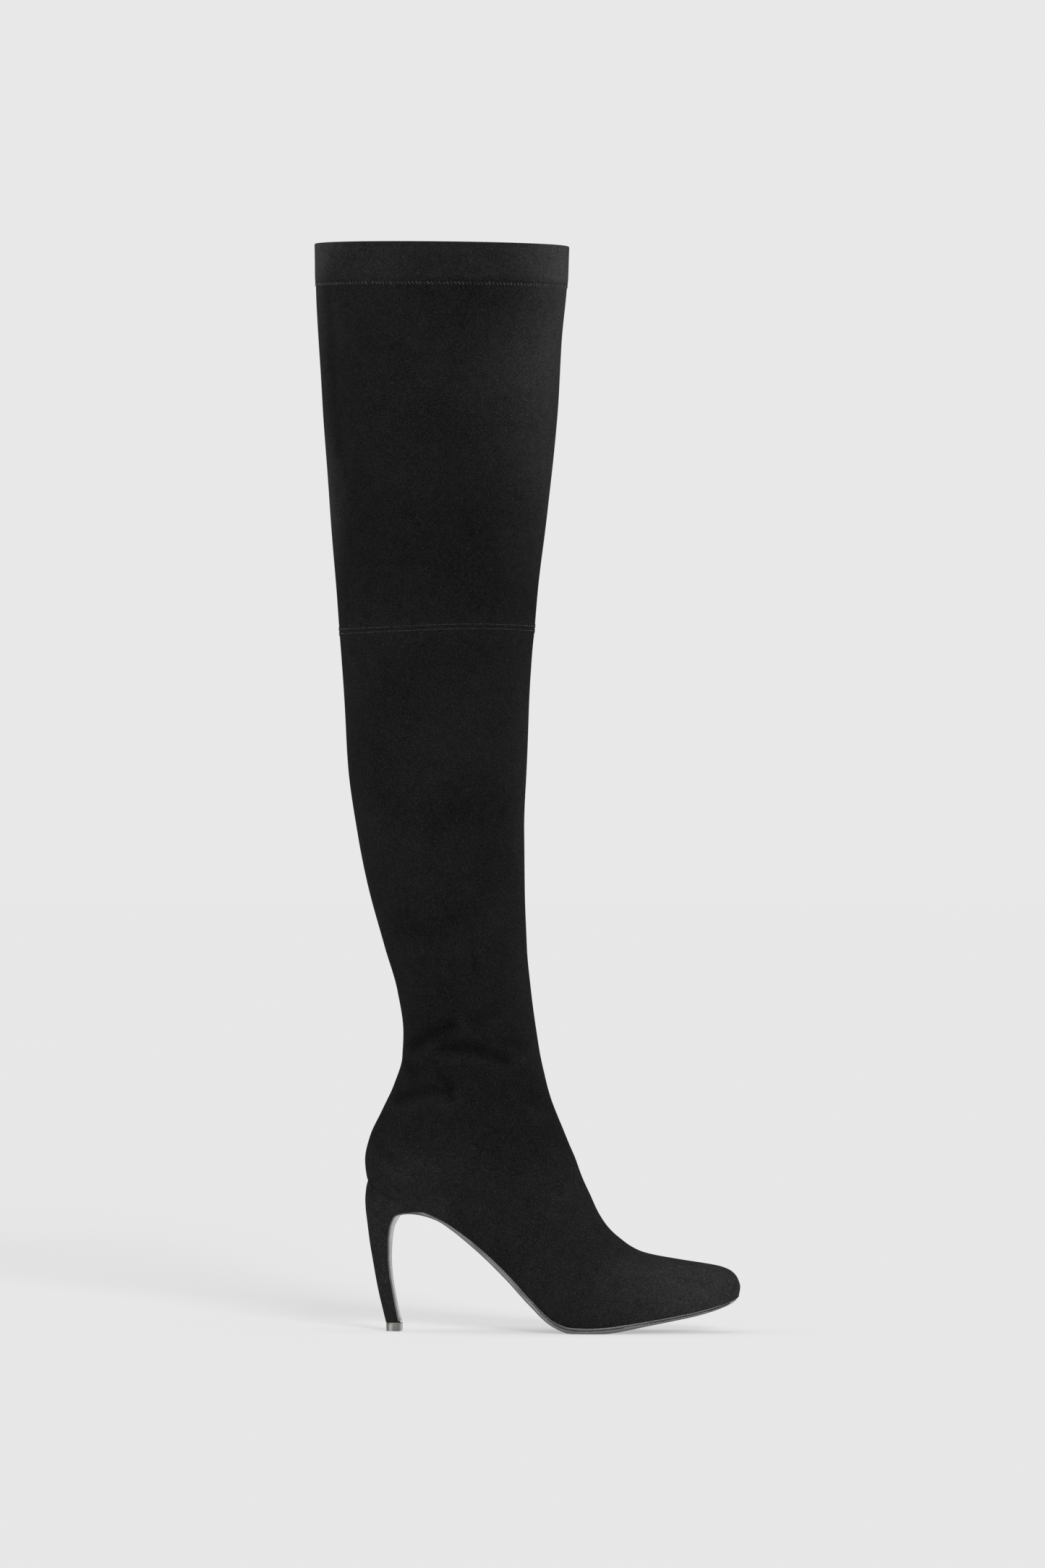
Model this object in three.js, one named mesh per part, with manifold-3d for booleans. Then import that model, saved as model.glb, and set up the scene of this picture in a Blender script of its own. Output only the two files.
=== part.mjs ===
// Thigh-high boot for the right foot: a stretch-suede upper in one hollow piece from collar to
// feather line, a thin leather outsole that runs on down the breast of a curved stiletto heel,
// an insole and a metal heel tip.
// Millimetres. X runs from heel to toe, Y towards the medial side, Z up. The foot is laid out
// from the back of the heel at x = 0 and the floor at z = 0, and the whole boot is then moved
// so that its origin is at the middle of its bounding box on the floor.

import * as THREE from 'three';
import { mergeVertices } from 'three/addons/utils/BufferGeometryUtils.js';
import Module from 'manifold-3d';

const wasm = await Module();
wasm.setup();

// Foot
const footLength = 234.5;
const heelHeight = 94.5; // floor to the notch at the back of the heel seat
const instepHeight = 62; // scale of every height over the sole
const toeSpring = 18; // rise of the feather line from the tread to the toe tip
const ballWidth = 77; // feather line at the ball, both sides together
const footWidth = 84; // widest part of the upper at the ball

// Leg
const shaftHeight = 492; // ankle to collar
const ankleRise = 90.5; // heel seat to ankle
const collar = { depth: 157.8, width: 132 };
const calf = { depth: 113.8, width: 106 };
const ankle = { depth: 83.5, width: 68 };

// Upper
const wall = 1.5;
const cuffHeight = 25.5;
const cuffStep = 0.5; // the turned cuff stands this much proud of the leg
const kneeSeamDrop = 240.3; // collar to the middle of the knee seam
const kneeSeamBand = 5; // height of the doubled seam between its two rows of stitches
const kneeSeamStep = 0.4;
const stepRun = 0.3; // height over which the wall steps in and out

// Sole, insole and heel
const gap = 0.3; // clearance between pieces that meet
const soleThickness = 3.9;
const treadHeight = 3.5; // feather line over the floor at the ball
const soleLip = 0.8; // the outsole's edge stands this much outside the upper at the ball
const insoleThickness = 2.2;
const insoleInset = 0.3;
const insoleStart = 8; // from the back of the heel, clear of the wall there
const insoleEnd = 2; // clear of the wall at the toe
const heelSeatWidth = 48;
const heelFront = 39; // length of the heel seat
const stripThickness = 1.1; // outsole leather on the heel's breast
const stripFlare = 0.5; // small lip where that leather ends over the tip
const waistShare = 0.5; // share of soleThickness at which the strip leaves off
const tipHeight = 5.4;
const tipTaper = 0.25;
const tipReach = 0.6; // the tip stands this much ahead of the heel's breast

// Mesh steps
const legStep = 27;
const footStep = 13;
const sideCells = 17; // cells from the feather line to the ridge, on each side
const heelSideCells = 9;
const plateStep = 2; // least distance between two stations of the outsole and the insole

const ankleHeight = heelHeight + ankleRise;
const seatLift = heelHeight - treadHeight;

// Leg sections from the collar down. up: share of shaftHeight over the ankle. deep and wide:
// shares of the size that the row follows. mid: middle of the section, share of footLength.
// tilt: how much the front stands over the back, share of the depth.
const legRows = [
  { up: 1.0, follows: collar, deep: 1.0, wide: 1.0, mid: 0.205, tilt: -0.012 },
  { up: 0.951, follows: collar, deep: 0.991, wide: 0.992, mid: 0.204, tilt: -0.01 },
  { up: 0.878, follows: collar, deep: 0.96, wide: 0.973, mid: 0.2, tilt: -0.006 },
  { up: 0.805, follows: collar, deep: 0.936, wide: 0.951, mid: 0.201, tilt: 0 },
  { up: 0.732, follows: collar, deep: 0.897, wide: 0.92, mid: 0.199, tilt: 0.005 },
  { up: 0.659, follows: collar, deep: 0.856, wide: 0.886, mid: 0.196, tilt: 0.01 },
  { up: 0.585, follows: collar, deep: 0.813, wide: 0.852, mid: 0.193, tilt: 0.015 },
  { up: 0.512, follows: calf, deep: 1.072, wide: 1.03, mid: 0.192, tilt: 0.016 },
  { up: 0.476, follows: calf, deep: 1.042, wide: 1.012, mid: 0.191, tilt: 0.014 },
  { up: 0.402, follows: calf, deep: 1.0, wide: 1.0, mid: 0.192, tilt: 0.008 },
  { up: 0.329, follows: calf, deep: 0.972, wide: 0.972, mid: 0.195, tilt: 0 },
  { up: 0.256, follows: calf, deep: 0.915, wide: 0.92, mid: 0.203, tilt: 0 },
  { up: 0.183, follows: calf, deep: 0.855, wide: 0.849, mid: 0.218, tilt: 0 },
  { up: 0.11, follows: ankle, deep: 1.06, wide: 1.16, mid: 0.241, tilt: 0 },
  { up: 0.055, follows: ankle, deep: 1.0, wide: 1.055, mid: 0.264, tilt: 0 },
  { up: 0.0, follows: ankle, deep: 1.0, wide: 1.0, mid: 0.28, tilt: 0 },
];

// Foot sections from the ankle to the toe tip. Each lies in a plane from a point on the back or
// feather line (base) to a point on the instep ridge (ridge), and the planes fan out from level
// at the ankle to upright at the toe.
// base and ridge: [share of footLength, share of seatLift, share of toeSpring, share of
// instepHeight]. feather: half widths at the base, [medial, lateral] shares of ballWidth.
// wide: greatest half widths, [medial, lateral] shares of footWidth. at: where along the
// plane the greatest width lies. low and high: roundness below and above it. side: medial shift
// of the ridge, share of footWidth. bow: how far the section curls back at its sides, share of
// footLength. sole: outsole thickness, share of soleThickness. lip: share of soleLip.
const footRows = [
  { base: [0.1, 1, 0, 1.226], ridge: [0.467, 0.85, 0, 1.47],
    feather: [0, 0], wide: [0.402, 0.402], at: 0.5, low: 2.15, high: 2.1, side: 0, bow: 0 },
  { base: [0.079, 1, 0, 0.96], ridge: [0.479, 0.72, 0, 1.46],
    feather: [0, 0], wide: [0.397, 0.397], at: 0.5, low: 2.25, high: 2.1, side: 0.003, bow: 0 },
  { base: [0.045, 1, 0, 0.685], ridge: [0.4885, 0.62, 0, 1.462],
    feather: [0, 0], wide: [0.39, 0.39], at: 0.48, low: 2.35, high: 2.1, side: 0.006, bow: 0 },
  { base: [0.0135, 1, 0, 0.427], ridge: [0.497, 0.55, 0, 1.46],
    feather: [0, 0], wide: [0.384, 0.384], at: 0.45, low: 2.45, high: 2.1, side: 0.01, bow: 0 },
  { base: [0.001, 1, 0, 0.2], ridge: [0.505, 0.5, 0, 1.453],
    feather: [0, 0], wide: [0.378, 0.378], at: 0.42, low: 2.5, high: 2.1, side: 0.014, bow: 0 },
  { base: [0.0077, 1, 0, 0], ridge: [0.515, 0.45, 0, 1.43],
    feather: [0, 0], wide: [0.372, 0.372], at: 0.4, low: 2.5, high: 2.1, side: 0.018, bow: 0 },
  { base: [0.0136, 0.985, 0, 0], ridge: [0.5175, 0.44, 0, 1.422],
    feather: [0.1, 0.1], wide: [0.372, 0.372], at: 0.393, low: 2.5, high: 2.1, side: 0.02, bow: 0 },
  { base: [0.03, 0.949, 0, 0], ridge: [0.5225, 0.42, 0, 1.406],
    feather: [0.187, 0.187], wide: [0.371, 0.371], at: 0.378, low: 2.5, high: 2.1, side: 0.023, bow: 0 },
  { base: [0.068, 0.894, 0, 0], ridge: [0.531, 0.385, 0, 1.377],
    feather: [0.262, 0.262], wide: [0.369, 0.369], at: 0.36, low: 2.5, high: 2.1, side: 0.027, bow: 0 },
  { base: [0.117, 0.834, 0, 0], ridge: [0.544, 0.34, 0, 1.322],
    feather: [0.31, 0.31], wide: [0.364, 0.364], at: 0.34, low: 2.5, high: 2.1, side: 0.032, bow: 0 },
  { base: [0.18, 0.772, 0, 0], ridge: [0.56, 0.28, 0, 1.268],
    feather: [0.318, 0.318], wide: [0.357, 0.363], at: 0.32, low: 2.5, high: 2.1, side: 0.038, bow: 0,
    sole: 0.26, lip: -0.4 },
  { base: [0.226, 0.713, 0, 0], ridge: [0.571, 0.24, 0, 1.207],
    feather: [0.298, 0.31], wide: [0.352, 0.366], at: 0.31, low: 2.5, high: 2.1, side: 0.042, bow: 0,
    sole: 0.34, lip: -0.5 },
  { base: [0.258, 0.659, 0, 0], ridge: [0.58, 0.21, 0, 1.163],
    feather: [0.275, 0.305], wide: [0.35, 0.37], at: 0.3, low: 2.5, high: 2.1, side: 0.046, bow: 0,
    sole: 0.56, lip: -0.6 },
  { base: [0.32, 0.536, 0, 0], ridge: [0.598, 0.14, 0, 1.118],
    feather: [0.247, 0.305], wide: [0.357, 0.387], at: 0.3, low: 2.5, high: 2.1, side: 0.05, bow: 0,
    sole: 0.76, lip: -0.6 },
  { base: [0.39, 0.372, 0, 0], ridge: [0.617, 0.085, 0, 1.038],
    feather: [0.253, 0.331], wide: [0.381, 0.411], at: 0.29, low: 2.5, high: 2.05, side: 0.055, bow: 0,
    sole: 0.86, lip: -0.4 },
  { base: [0.461, 0.179, 0, 0], ridge: [0.6375, 0.04, 0, 0.976],
    feather: [0.325, 0.39], wide: [0.417, 0.452], at: 0.27, low: 2.5, high: 2.0, side: 0.06, bow: 0,
    sole: 0.81, lip: 0.2 },
  { base: [0.5165, 0.053, 0, 0], ridge: [0.657, 0.012, 0, 0.931],
    feather: [0.403, 0.448], wide: [0.458, 0.488], at: 0.25, low: 2.5, high: 2.0, side: 0.06, bow: 0,
    sole: 0.87, lip: 0.8 },
  { base: [0.54, 0.024, 0, 0], ridge: [0.6675, 0.005, 0, 0.906],
    feather: [0.432, 0.47], wide: [0.472, 0.499], at: 0.24, low: 2.5, high: 2.0, side: 0.06, bow: 0,
    sole: 0.93, lip: 0.9 },
  { base: [0.563, 0.006, 0, 0], ridge: [0.678, 0, 0, 0.881],
    feather: [0.455, 0.487], wide: [0.482, 0.506], at: 0.24, low: 2.5, high: 2.0, side: 0.06, bow: 0,
    sole: 1, lip: 1 },
  { base: [0.612, 0, 0, 0], ridge: [0.7035, 0, 0, 0.81],
    feather: [0.48, 0.5], wide: [0.492, 0.506], at: 0.24, low: 2.5, high: 2.0, side: 0.058, bow: 0,
    sole: 1, lip: 1 },
  { base: [0.661, 0, 0.033, 0], ridge: [0.7355, 0, 0, 0.751],
    feather: [0.48, 0.494], wide: [0.482, 0.488], at: 0.25, low: 2.5, high: 2.0, side: 0.052, bow: 0,
    sole: 1, lip: 1 },
  { base: [0.7165, 0, 0.135, 0], ridge: [0.772, 0, 0.05, 0.702],
    feather: [0.455, 0.468], wide: [0.456, 0.458], at: 0.27, low: 2.5, high: 2.05, side: 0.044, bow: 0,
    sole: 0.91, lip: 0.9 },
  { base: [0.776, 0, 0.26, 0], ridge: [0.8165, 0, 0.13, 0.65],
    feather: [0.409, 0.416], wide: [0.413, 0.411], at: 0.29, low: 2.5, high: 2.1, side: 0.036, bow: 0,
    sole: 0.74, lip: 0.8 },
  { base: [0.836, 0, 0.4, 0], ridge: [0.8635, 0, 0.27, 0.581],
    feather: [0.357, 0.351], wide: [0.361, 0.351], at: 0.32, low: 2.5, high: 2.15, side: 0.029, bow: 0,
    sole: 0.68, lip: 0.6 },
  { base: [0.887, 0, 0.535, 0], ridge: [0.906, 0, 0.4, 0.52],
    feather: [0.309, 0.292], wide: [0.313, 0.294], at: 0.34, low: 2.5, high: 2.2, side: 0.023, bow: 0.0006,
    sole: 0.65, lip: 0.5 },
  { base: [0.9295, 0, 0.68, 0], ridge: [0.9405, 0, 0.55, 0.453],
    feather: [0.27, 0.247], wide: [0.271, 0.249], at: 0.36, low: 2.5, high: 2.25, side: 0.018, bow: 0.0015,
    sole: 0.6, lip: 0.2 },
  { base: [0.9615, 0, 0.81, 0], ridge: [0.968, 0, 0.7, 0.374],
    feather: [0.239, 0.212], wide: [0.238, 0.212], at: 0.38, low: 2.5, high: 2.3, side: 0.015, bow: 0.0035,
    sole: 0.5, lip: -0.3 },
  { base: [0.981, 0, 0.91, 0], ridge: [0.986, 0, 0.85, 0.278],
    feather: [0.212, 0.182], wide: [0.207, 0.179], at: 0.4, low: 2.5, high: 2.3, side: 0.013, bow: 0.006,
    sole: 0.38, lip: -0.9 },
  { base: [0.991, 0, 0.99, 0], ridge: [0.9962, 0, 0.93, 0.185],
    feather: [0.186, 0.156], wide: [0.177, 0.15], at: 0.42, low: 2.5, high: 2.3, side: 0.013, bow: 0.008,
    sole: 0.3, lip: -1.4 },
  { base: [0.9953, 0, 1.04, 0], ridge: [1.0, 0, 1.0, 0.11],
    feather: [0.166, 0.136], wide: [0.155, 0.127], at: 0.45, low: 2.5, high: 2.2, side: 0.013, bow: 0.0095,
    sole: 0.24, lip: -1.8 },
  { base: [0.9962, 0, 1.06, 0], ridge: [0.9962, 0, 1.06, 0],
    feather: [0.156, 0.126], wide: [0.1431, 0.1156], at: 0.5, low: 2.5, high: 2.2, side: 0.013, bow: 0.0105,
    sole: 0.2, lip: -2 },
];

// Outer face of the outsole leather under the seat and down the heel's breast, from the waist to
// the tip. x: share of footLength. z: share of heelHeight. half: half width, share of
// heelSeatWidth. thick: share of stripThickness.
const breastRows = [
  { x: 0.202, z: 0.7355, half: 0.492, thick: 1.0 },
  { x: 0.177, z: 0.757, half: 0.5, thick: 1.0 },
  { x: 0.152, z: 0.77, half: 0.485, thick: 1.0 },
  { x: 0.126, z: 0.776, half: 0.43, thick: 1.0 },
  { x: 0.104, z: 0.7705, half: 0.375, thick: 1.0 },
  { x: 0.087, z: 0.755, half: 0.32, thick: 1.0 },
  { x: 0.08, z: 0.726, half: 0.272, thick: 1.0 },
  { x: 0.0728, z: 0.68, half: 0.228, thick: 1.0 },
  { x: 0.0685, z: 0.59, half: 0.182, thick: 1.0 },
  { x: 0.0678, z: 0.495, half: 0.15, thick: 1.0 },
  { x: 0.0705, z: 0.39, half: 0.126, thick: 1.0 },
  { x: 0.0775, z: 0.275, half: 0.113, thick: 1.0 },
  { x: 0.0855, z: 0.17, half: 0.108, thick: 1.0 },
  { x: 0.0945, z: 0.067, half: 0.106, thick: 1.0 },
];

// Heel sections from the seat to the tip, each in a plane from the back line to the front line.
// back and front: [share of footLength, share of heelHeight]. half: half width, share of
// heelSeatWidth. slim: 0 where the section has the seat's outline, 1 where it is the slim stem.
const heelRows = [
  { back: [0.0115, 1.045], front: [0.18, 0.83], half: 0.505, slim: 0 },
  { back: [0.0077, 1.0], front: [0.176, 0.77], half: 0.497, slim: 0 },
  { back: [0.0018, 0.935], front: [0.154, 0.764], half: 0.49, slim: 0.1 },
  { back: [0.0, 0.87], front: [0.128, 0.775], half: 0.468, slim: 0.35 },
  { back: [0.0014, 0.81], front: [0.1045, 0.773], half: 0.417, slim: 0.6 },
  { back: [0.0038, 0.762], front: [0.089, 0.757], half: 0.36, slim: 0.85 },
  { back: [0.0064, 0.714], front: [0.08, 0.726], half: 0.305, slim: 1 },
  { back: [0.009, 0.656], front: [0.0728, 0.68], half: 0.258, slim: 1 },
  { back: [0.0135, 0.571], front: [0.0685, 0.59], half: 0.209, slim: 1 },
  { back: [0.0192, 0.487], front: [0.0678, 0.495], half: 0.177, slim: 1 },
  { back: [0.0262, 0.386], front: [0.0705, 0.39], half: 0.152, slim: 1 },
  { back: [0.0346, 0.275], front: [0.0775, 0.275], half: 0.138, slim: 1 },
  { back: [0.0445, 0.17], front: [0.0855, 0.17], half: 0.13, slim: 1 },
  { back: [0.0555, 0.06], front: [0.095, 0.06], half: 0.127, slim: 1 },
];

// Edge of the outsole from its top to its bottom. depth: share of the thickness. groove and
// bevel: inward steps in millimetres, the first fading out behind the ball.
const soleEdge = [
  { depth: 0, groove: 0.1, bevel: 0 },
  { depth: 0.1, groove: 0, bevel: 0 },
  { depth: 0.3, groove: 0, bevel: 0 },
  { depth: 0.4, groove: 0.45, bevel: 0 },
  { depth: 0.52, groove: 0.45, bevel: 0 },
  { depth: 0.62, groove: 0, bevel: 0 },
  { depth: 0.86, groove: 0, bevel: 0.1 },
  { depth: 1, groove: 0.15, bevel: 0.6 },
];

/** Monotone cubic through the points (xs, ys), as a function of x. */
function monotone(xs, ys) {
  const slopes = xs.slice(1).map((x, i) => (ys[i + 1] - ys[i]) / (x - xs[i]));
  const tangents = xs.map((_, i) => {
    if (i === 0) return slopes[0];
    if (i === xs.length - 1) return slopes[i - 1];
    const [before, after] = [slopes[i - 1], slopes[i]];
    return before * after <= 0 ? 0 : (2 * before * after) / (before + after);
  });
  return (x) => {
    let i = xs.findIndex((v, k) => k > 0 && x <= v) - 1;
    if (i < 0) i = x <= xs[0] ? 0 : xs.length - 2;
    const h = xs[i + 1] - xs[i];
    const t = THREE.MathUtils.clamp((x - xs[i]) / h, 0, 1);
    const [t2, t3] = [t * t, t * t * t];
    return (
      (2 * t3 - 3 * t2 + 1) * ys[i] + (t3 - 2 * t2 + t) * h * tangents[i] +
      (3 * t2 - 2 * t3) * ys[i + 1] + (t3 - t2) * h * tangents[i + 1]
    );
  };
}

/** Rows of numbers joined by monotone cubics over the distances in `along`. */
function smoothRows(rows, along) {
  const names = Object.keys(rows[0]);
  const curves = names.map((name) => monotone(along, rows.map((row) => row[name])));
  return (s) => Object.fromEntries(names.map((name, i) => [name, curves[i](s)]));
}

/** Running total of the distances that `step` gives between neighbours. */
function runningLength(rows, step) {
  const along = [0];
  for (let i = 1; i < rows.length; i++) along.push(along[i - 1] + step(rows[i - 1], rows[i]));
  return along;
}

/** A point of a foot row: [share of length, of seat lift, of toe spring, of instep height]. */
function footPoint([length, lift, spring, over]) {
  return [
    length * footLength,
    treadHeight + lift * seatLift + spring * toeSpring + over * instepHeight,
  ];
}

/** A leg row in millimetres. */
function legSection({ up, follows, deep, wide, mid, tilt }) {
  const depth = deep * follows.depth;
  const z = ankleHeight + up * shaftHeight;
  const half = (wide * follows.width) / 2;
  return {
    bx: mid * footLength - depth / 2, bz: z, tx: mid * footLength + depth / 2,
    tz: z + tilt * depth, fm: 0, fl: 0, wm: half, wl: half, at: 0.5, low: 2.1, high: 2.1,
    side: 0, bow: 0, sole: 0, lip: 0,
  };
}

/** A foot row in millimetres. */
function footSection({ base, ridge, feather, wide, at, low, high, side, bow, sole = 0, lip = 0 }) {
  const [bx, bz] = footPoint(base);
  const [tx, tz] = footPoint(ridge);
  const [fm, fl] = feather.map((share) => share * ballWidth);
  return {
    bx, bz, tx, tz, fm, fl,
    wm: Math.max(fm, wide[0] * footWidth), wl: Math.max(fl, wide[1] * footWidth),
    at, low, high, side: side * footWidth, bow: bow * footLength,
    sole: sole * soleThickness, lip: lip * soleLip,
  };
}

const sections = [...legRows.map(legSection), ...footRows.map(footSection)];
const sectionStep = (a, b) =>
  (Math.hypot(b.bx - a.bx, b.bz - a.bz) + Math.hypot(b.tx - a.tx, b.tz - a.tz)) / 2;
const sectionAlong = runningLength(sections, sectionStep);
const sectionAt = smoothRows(sections, sectionAlong);
const notchIndex = legRows.length + footRows.findIndex((row) => row.feather[0] > 0) - 1;
const notchAlong = sectionAlong[notchIndex];
const lastAlong = sectionAlong[sectionAlong.length - 1];

/** Distances down the boot at which the upper gets a ring of points. */
function upperStations() {
  const half = kneeSeamBand / 2;
  const steps = [
    cuffHeight, cuffHeight + stepRun,
    kneeSeamDrop - half - stepRun, kneeSeamDrop - half,
    kneeSeamDrop + half, kneeSeamDrop + half + stepRun,
  ];
  const stations = [...steps];
  for (let i = 1; i < sectionAlong.length; i++) {
    const [from, to] = [sectionAlong[i - 1], sectionAlong[i]];
    const cells = Math.max(1, Math.round((to - from) / (i < legRows.length ? legStep : footStep)));
    for (let k = i === 1 ? 0 : 1; k <= cells; k++) stations.push(from + ((to - from) * k) / cells);
  }
  const crowded = (s) => steps.some((step) => s !== step && Math.abs(s - step) < kneeSeamBand);
  return stations.filter((s) => s === 0 || !crowded(s) || steps.includes(s)).sort((a, b) => a - b);
}

/** How far the wall stands proud at a distance down the boot. */
function relief(s) {
  if (s <= cuffHeight) return cuffStep;
  return Math.abs(s - kneeSeamDrop) <= kneeSeamBand / 2 ? kneeSeamStep : 0;
}

/** Half of a section from its base to its ridge, as [half width, share of the way up]. */
function halfSection(section, half, feather) {
  const points = [];
  const fine = 24;
  const { at, low, high } = section;
  const tucked = Math.min(feather / half, 1);
  const start = Math.acos(Math.min(1, tucked ** (low / 2)));
  const rise = (angle) => at * (1 - Math.sin(angle) ** (2 / low));
  for (let i = 0; i < fine; i++) {
    const angle = start * (1 - i / fine);
    const share = start > 1e-3 ? (rise(angle) - rise(start)) / (at - rise(start)) : i / fine;
    points.push([half * Math.cos(angle) ** (2 / low), at * share]);
  }
  for (let i = 0; i <= fine; i++) {
    const angle = (Math.PI / 2) * (i / fine);
    const across = i === fine ? 0 : half * Math.cos(angle) ** (2 / high);
    points.push([across, at + (1 - at) * Math.sin(angle) ** (2 / high)]);
  }
  return points;
}

/** The same line with points at equal distances along it; `height` scales the second number. */
function evenly(points, height, cells) {
  const along = runningLength(points, (a, b) => Math.hypot(b[0] - a[0], (b[1] - a[1]) * height));
  const total = along[along.length - 1];
  return Array.from({ length: cells + 1 }, (_, k) => {
    const target = (total * k) / cells;
    const reached = along.findIndex((v) => v >= target);
    const i = reached < 0 ? points.length - 1 : Math.max(reached, 1);
    const t = (target - along[i - 1]) / (along[i] - along[i - 1] || 1);
    return [0, 1].map((c) => points[i - 1][c] + (points[i][c] - points[i - 1][c]) * t);
  });
}

/** Ring of points at one section, from the lateral feather over the ridge to the medial one. */
function ring(section) {
  const { bx, bz, tx, tz, wm, wl, fm, fl, side, bow } = section;
  const height = Math.hypot(tx - bx, tz - bz);
  const place = (half, sign) => ([across, up]) =>
    new THREE.Vector3(
      bx + (tx - bx) * up - bow * (across / half) ** 2,
      sign * across + side * up,
      bz + (tz - bz) * up,
    );
  const lateral = evenly(halfSection(section, wl, fl), height, sideCells).map(place(wl, -1));
  const medial = evenly(halfSection(section, wm, fm), height, sideCells).map(place(wm, 1));
  return [...lateral, ...medial.reverse().slice(1)];
}

/** Unit normals of a grid of points; rows up to `seamRow` close on themselves. */
function gridNormals(grid, seamRow) {
  const last = grid[0].length - 1;
  return grid.map((row, i) =>
    row.map((_, j) => {
      const closed = i <= seamRow && (j === 0 || j === last);
      const before = closed ? row[last - 1] : row[Math.max(j - 1, 0)];
      const after = closed ? row[1] : row[Math.min(j + 1, last)];
      const up = grid[Math.max(i - 1, 0)][j];
      const down = grid[Math.min(i + 1, grid.length - 1)][j];
      const across = after.clone().sub(before);
      return across.cross(down.clone().sub(up)).normalize().negate();
    }),
  );
}

/** Height of the feather line over the floor at x. */
const featherHeight = (() => {
  const cells = 160;
  const points = Array.from({ length: cells + 1 }, (_, i) =>
    sectionAt(notchAlong + ((lastAlong - notchAlong) * i) / cells),
  );
  const [first, last] = [points[0], points[cells]];
  return (x) => {
    const i = points.findIndex((point) => point.bx >= x);
    if (i === 0) return first.bz + ((points[1].bz - first.bz) / (points[1].bx - first.bx)) * (x - first.bx);
    if (i < 0) return last.bz;
    const t = (x - points[i - 1].bx) / (points[i].bx - points[i - 1].bx);
    return points[i - 1].bz + (points[i].bz - points[i - 1].bz) * t;
  };
})();

/** A closed BufferGeometry with its faces pointing out. */
function closedGeometry(points, faces) {
  let volume = 0;
  for (const [a, b, c] of faces) volume += points[a].dot(points[b].clone().cross(points[c]));
  const turned = volume > 0 ? faces : faces.map(([a, b, c]) => [a, c, b]);
  const raw = new THREE.BufferGeometry();
  raw.setAttribute('position', new THREE.Float32BufferAttribute(points.flatMap((p) => p.toArray()), 3));
  raw.setIndex(turned.flat());
  return mergeVertices(raw, 1e-4);
}

/** Two triangles for the cell a, b, c, d. */
const cell = (a, b, c, d) => [[a, b, c], [a, c, d]];

const stations = upperStations();
const upperGrid = stations.map((s) => ring(sectionAt(s)));
const seamRow = stations.findIndex((s) => s >= notchAlong - 1e-6);
const upperNormals = gridNormals(upperGrid, seamRow);

/** The upper's grid moved along its normals by `offset`, its lower edge kept on the feather line. */
function shiftedUpper(offset) {
  const last = upperGrid[0].length - 1;
  return upperGrid.map((row, i) =>
    row.map((point, j) => {
      const moved = point.clone().addScaledVector(upperNormals[i][j], offset(stations[i]));
      const edge = i > seamRow && (j === 0 || j === last || i === upperGrid.length - 1);
      if (edge) moved.z = featherHeight(moved.x);
      return moved;
    }),
  );
}

const upperOutside = shiftedUpper(relief);
const upperInside = shiftedUpper(() => -wall);

/** The upper: one wall from the collar to the feather line, open above and below. */
function upperGeometry() {
  const rows = upperGrid.length;
  const columns = upperGrid[0].length;
  const points = [...upperOutside.flat(), ...upperInside.flat()];
  const out = (i, j) => i * columns + (i <= seamRow && j === columns - 1 ? 0 : j);
  const inn = (i, j) => rows * columns + out(i, j);
  const faces = [];
  for (let i = 0; i < rows - 1; i++) {
    for (let j = 0; j < columns - 1; j++) {
      faces.push(...cell(out(i, j), out(i + 1, j), out(i + 1, j + 1), out(i, j + 1)));
      faces.push(...cell(inn(i, j), inn(i, j + 1), inn(i + 1, j + 1), inn(i + 1, j)));
    }
  }
  for (let j = 0; j < columns - 1; j++) {
    faces.push(...cell(out(0, j), out(0, j + 1), inn(0, j + 1), inn(0, j)));
    const tip = rows - 1;
    faces.push(...cell(out(tip, j + 1), out(tip, j), inn(tip, j), inn(tip, j + 1)));
  }
  for (let i = seamRow; i < rows - 1; i++) {
    const end = columns - 1;
    faces.push(...cell(out(i + 1, 0), out(i, 0), inn(i, 0), inn(i + 1, 0)));
    faces.push(...cell(out(i, end), out(i + 1, end), inn(i + 1, end), inn(i, end)));
  }
  return closedGeometry(points, faces.filter(([a, b, c]) => a !== b && b !== c && a !== c));
}

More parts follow.
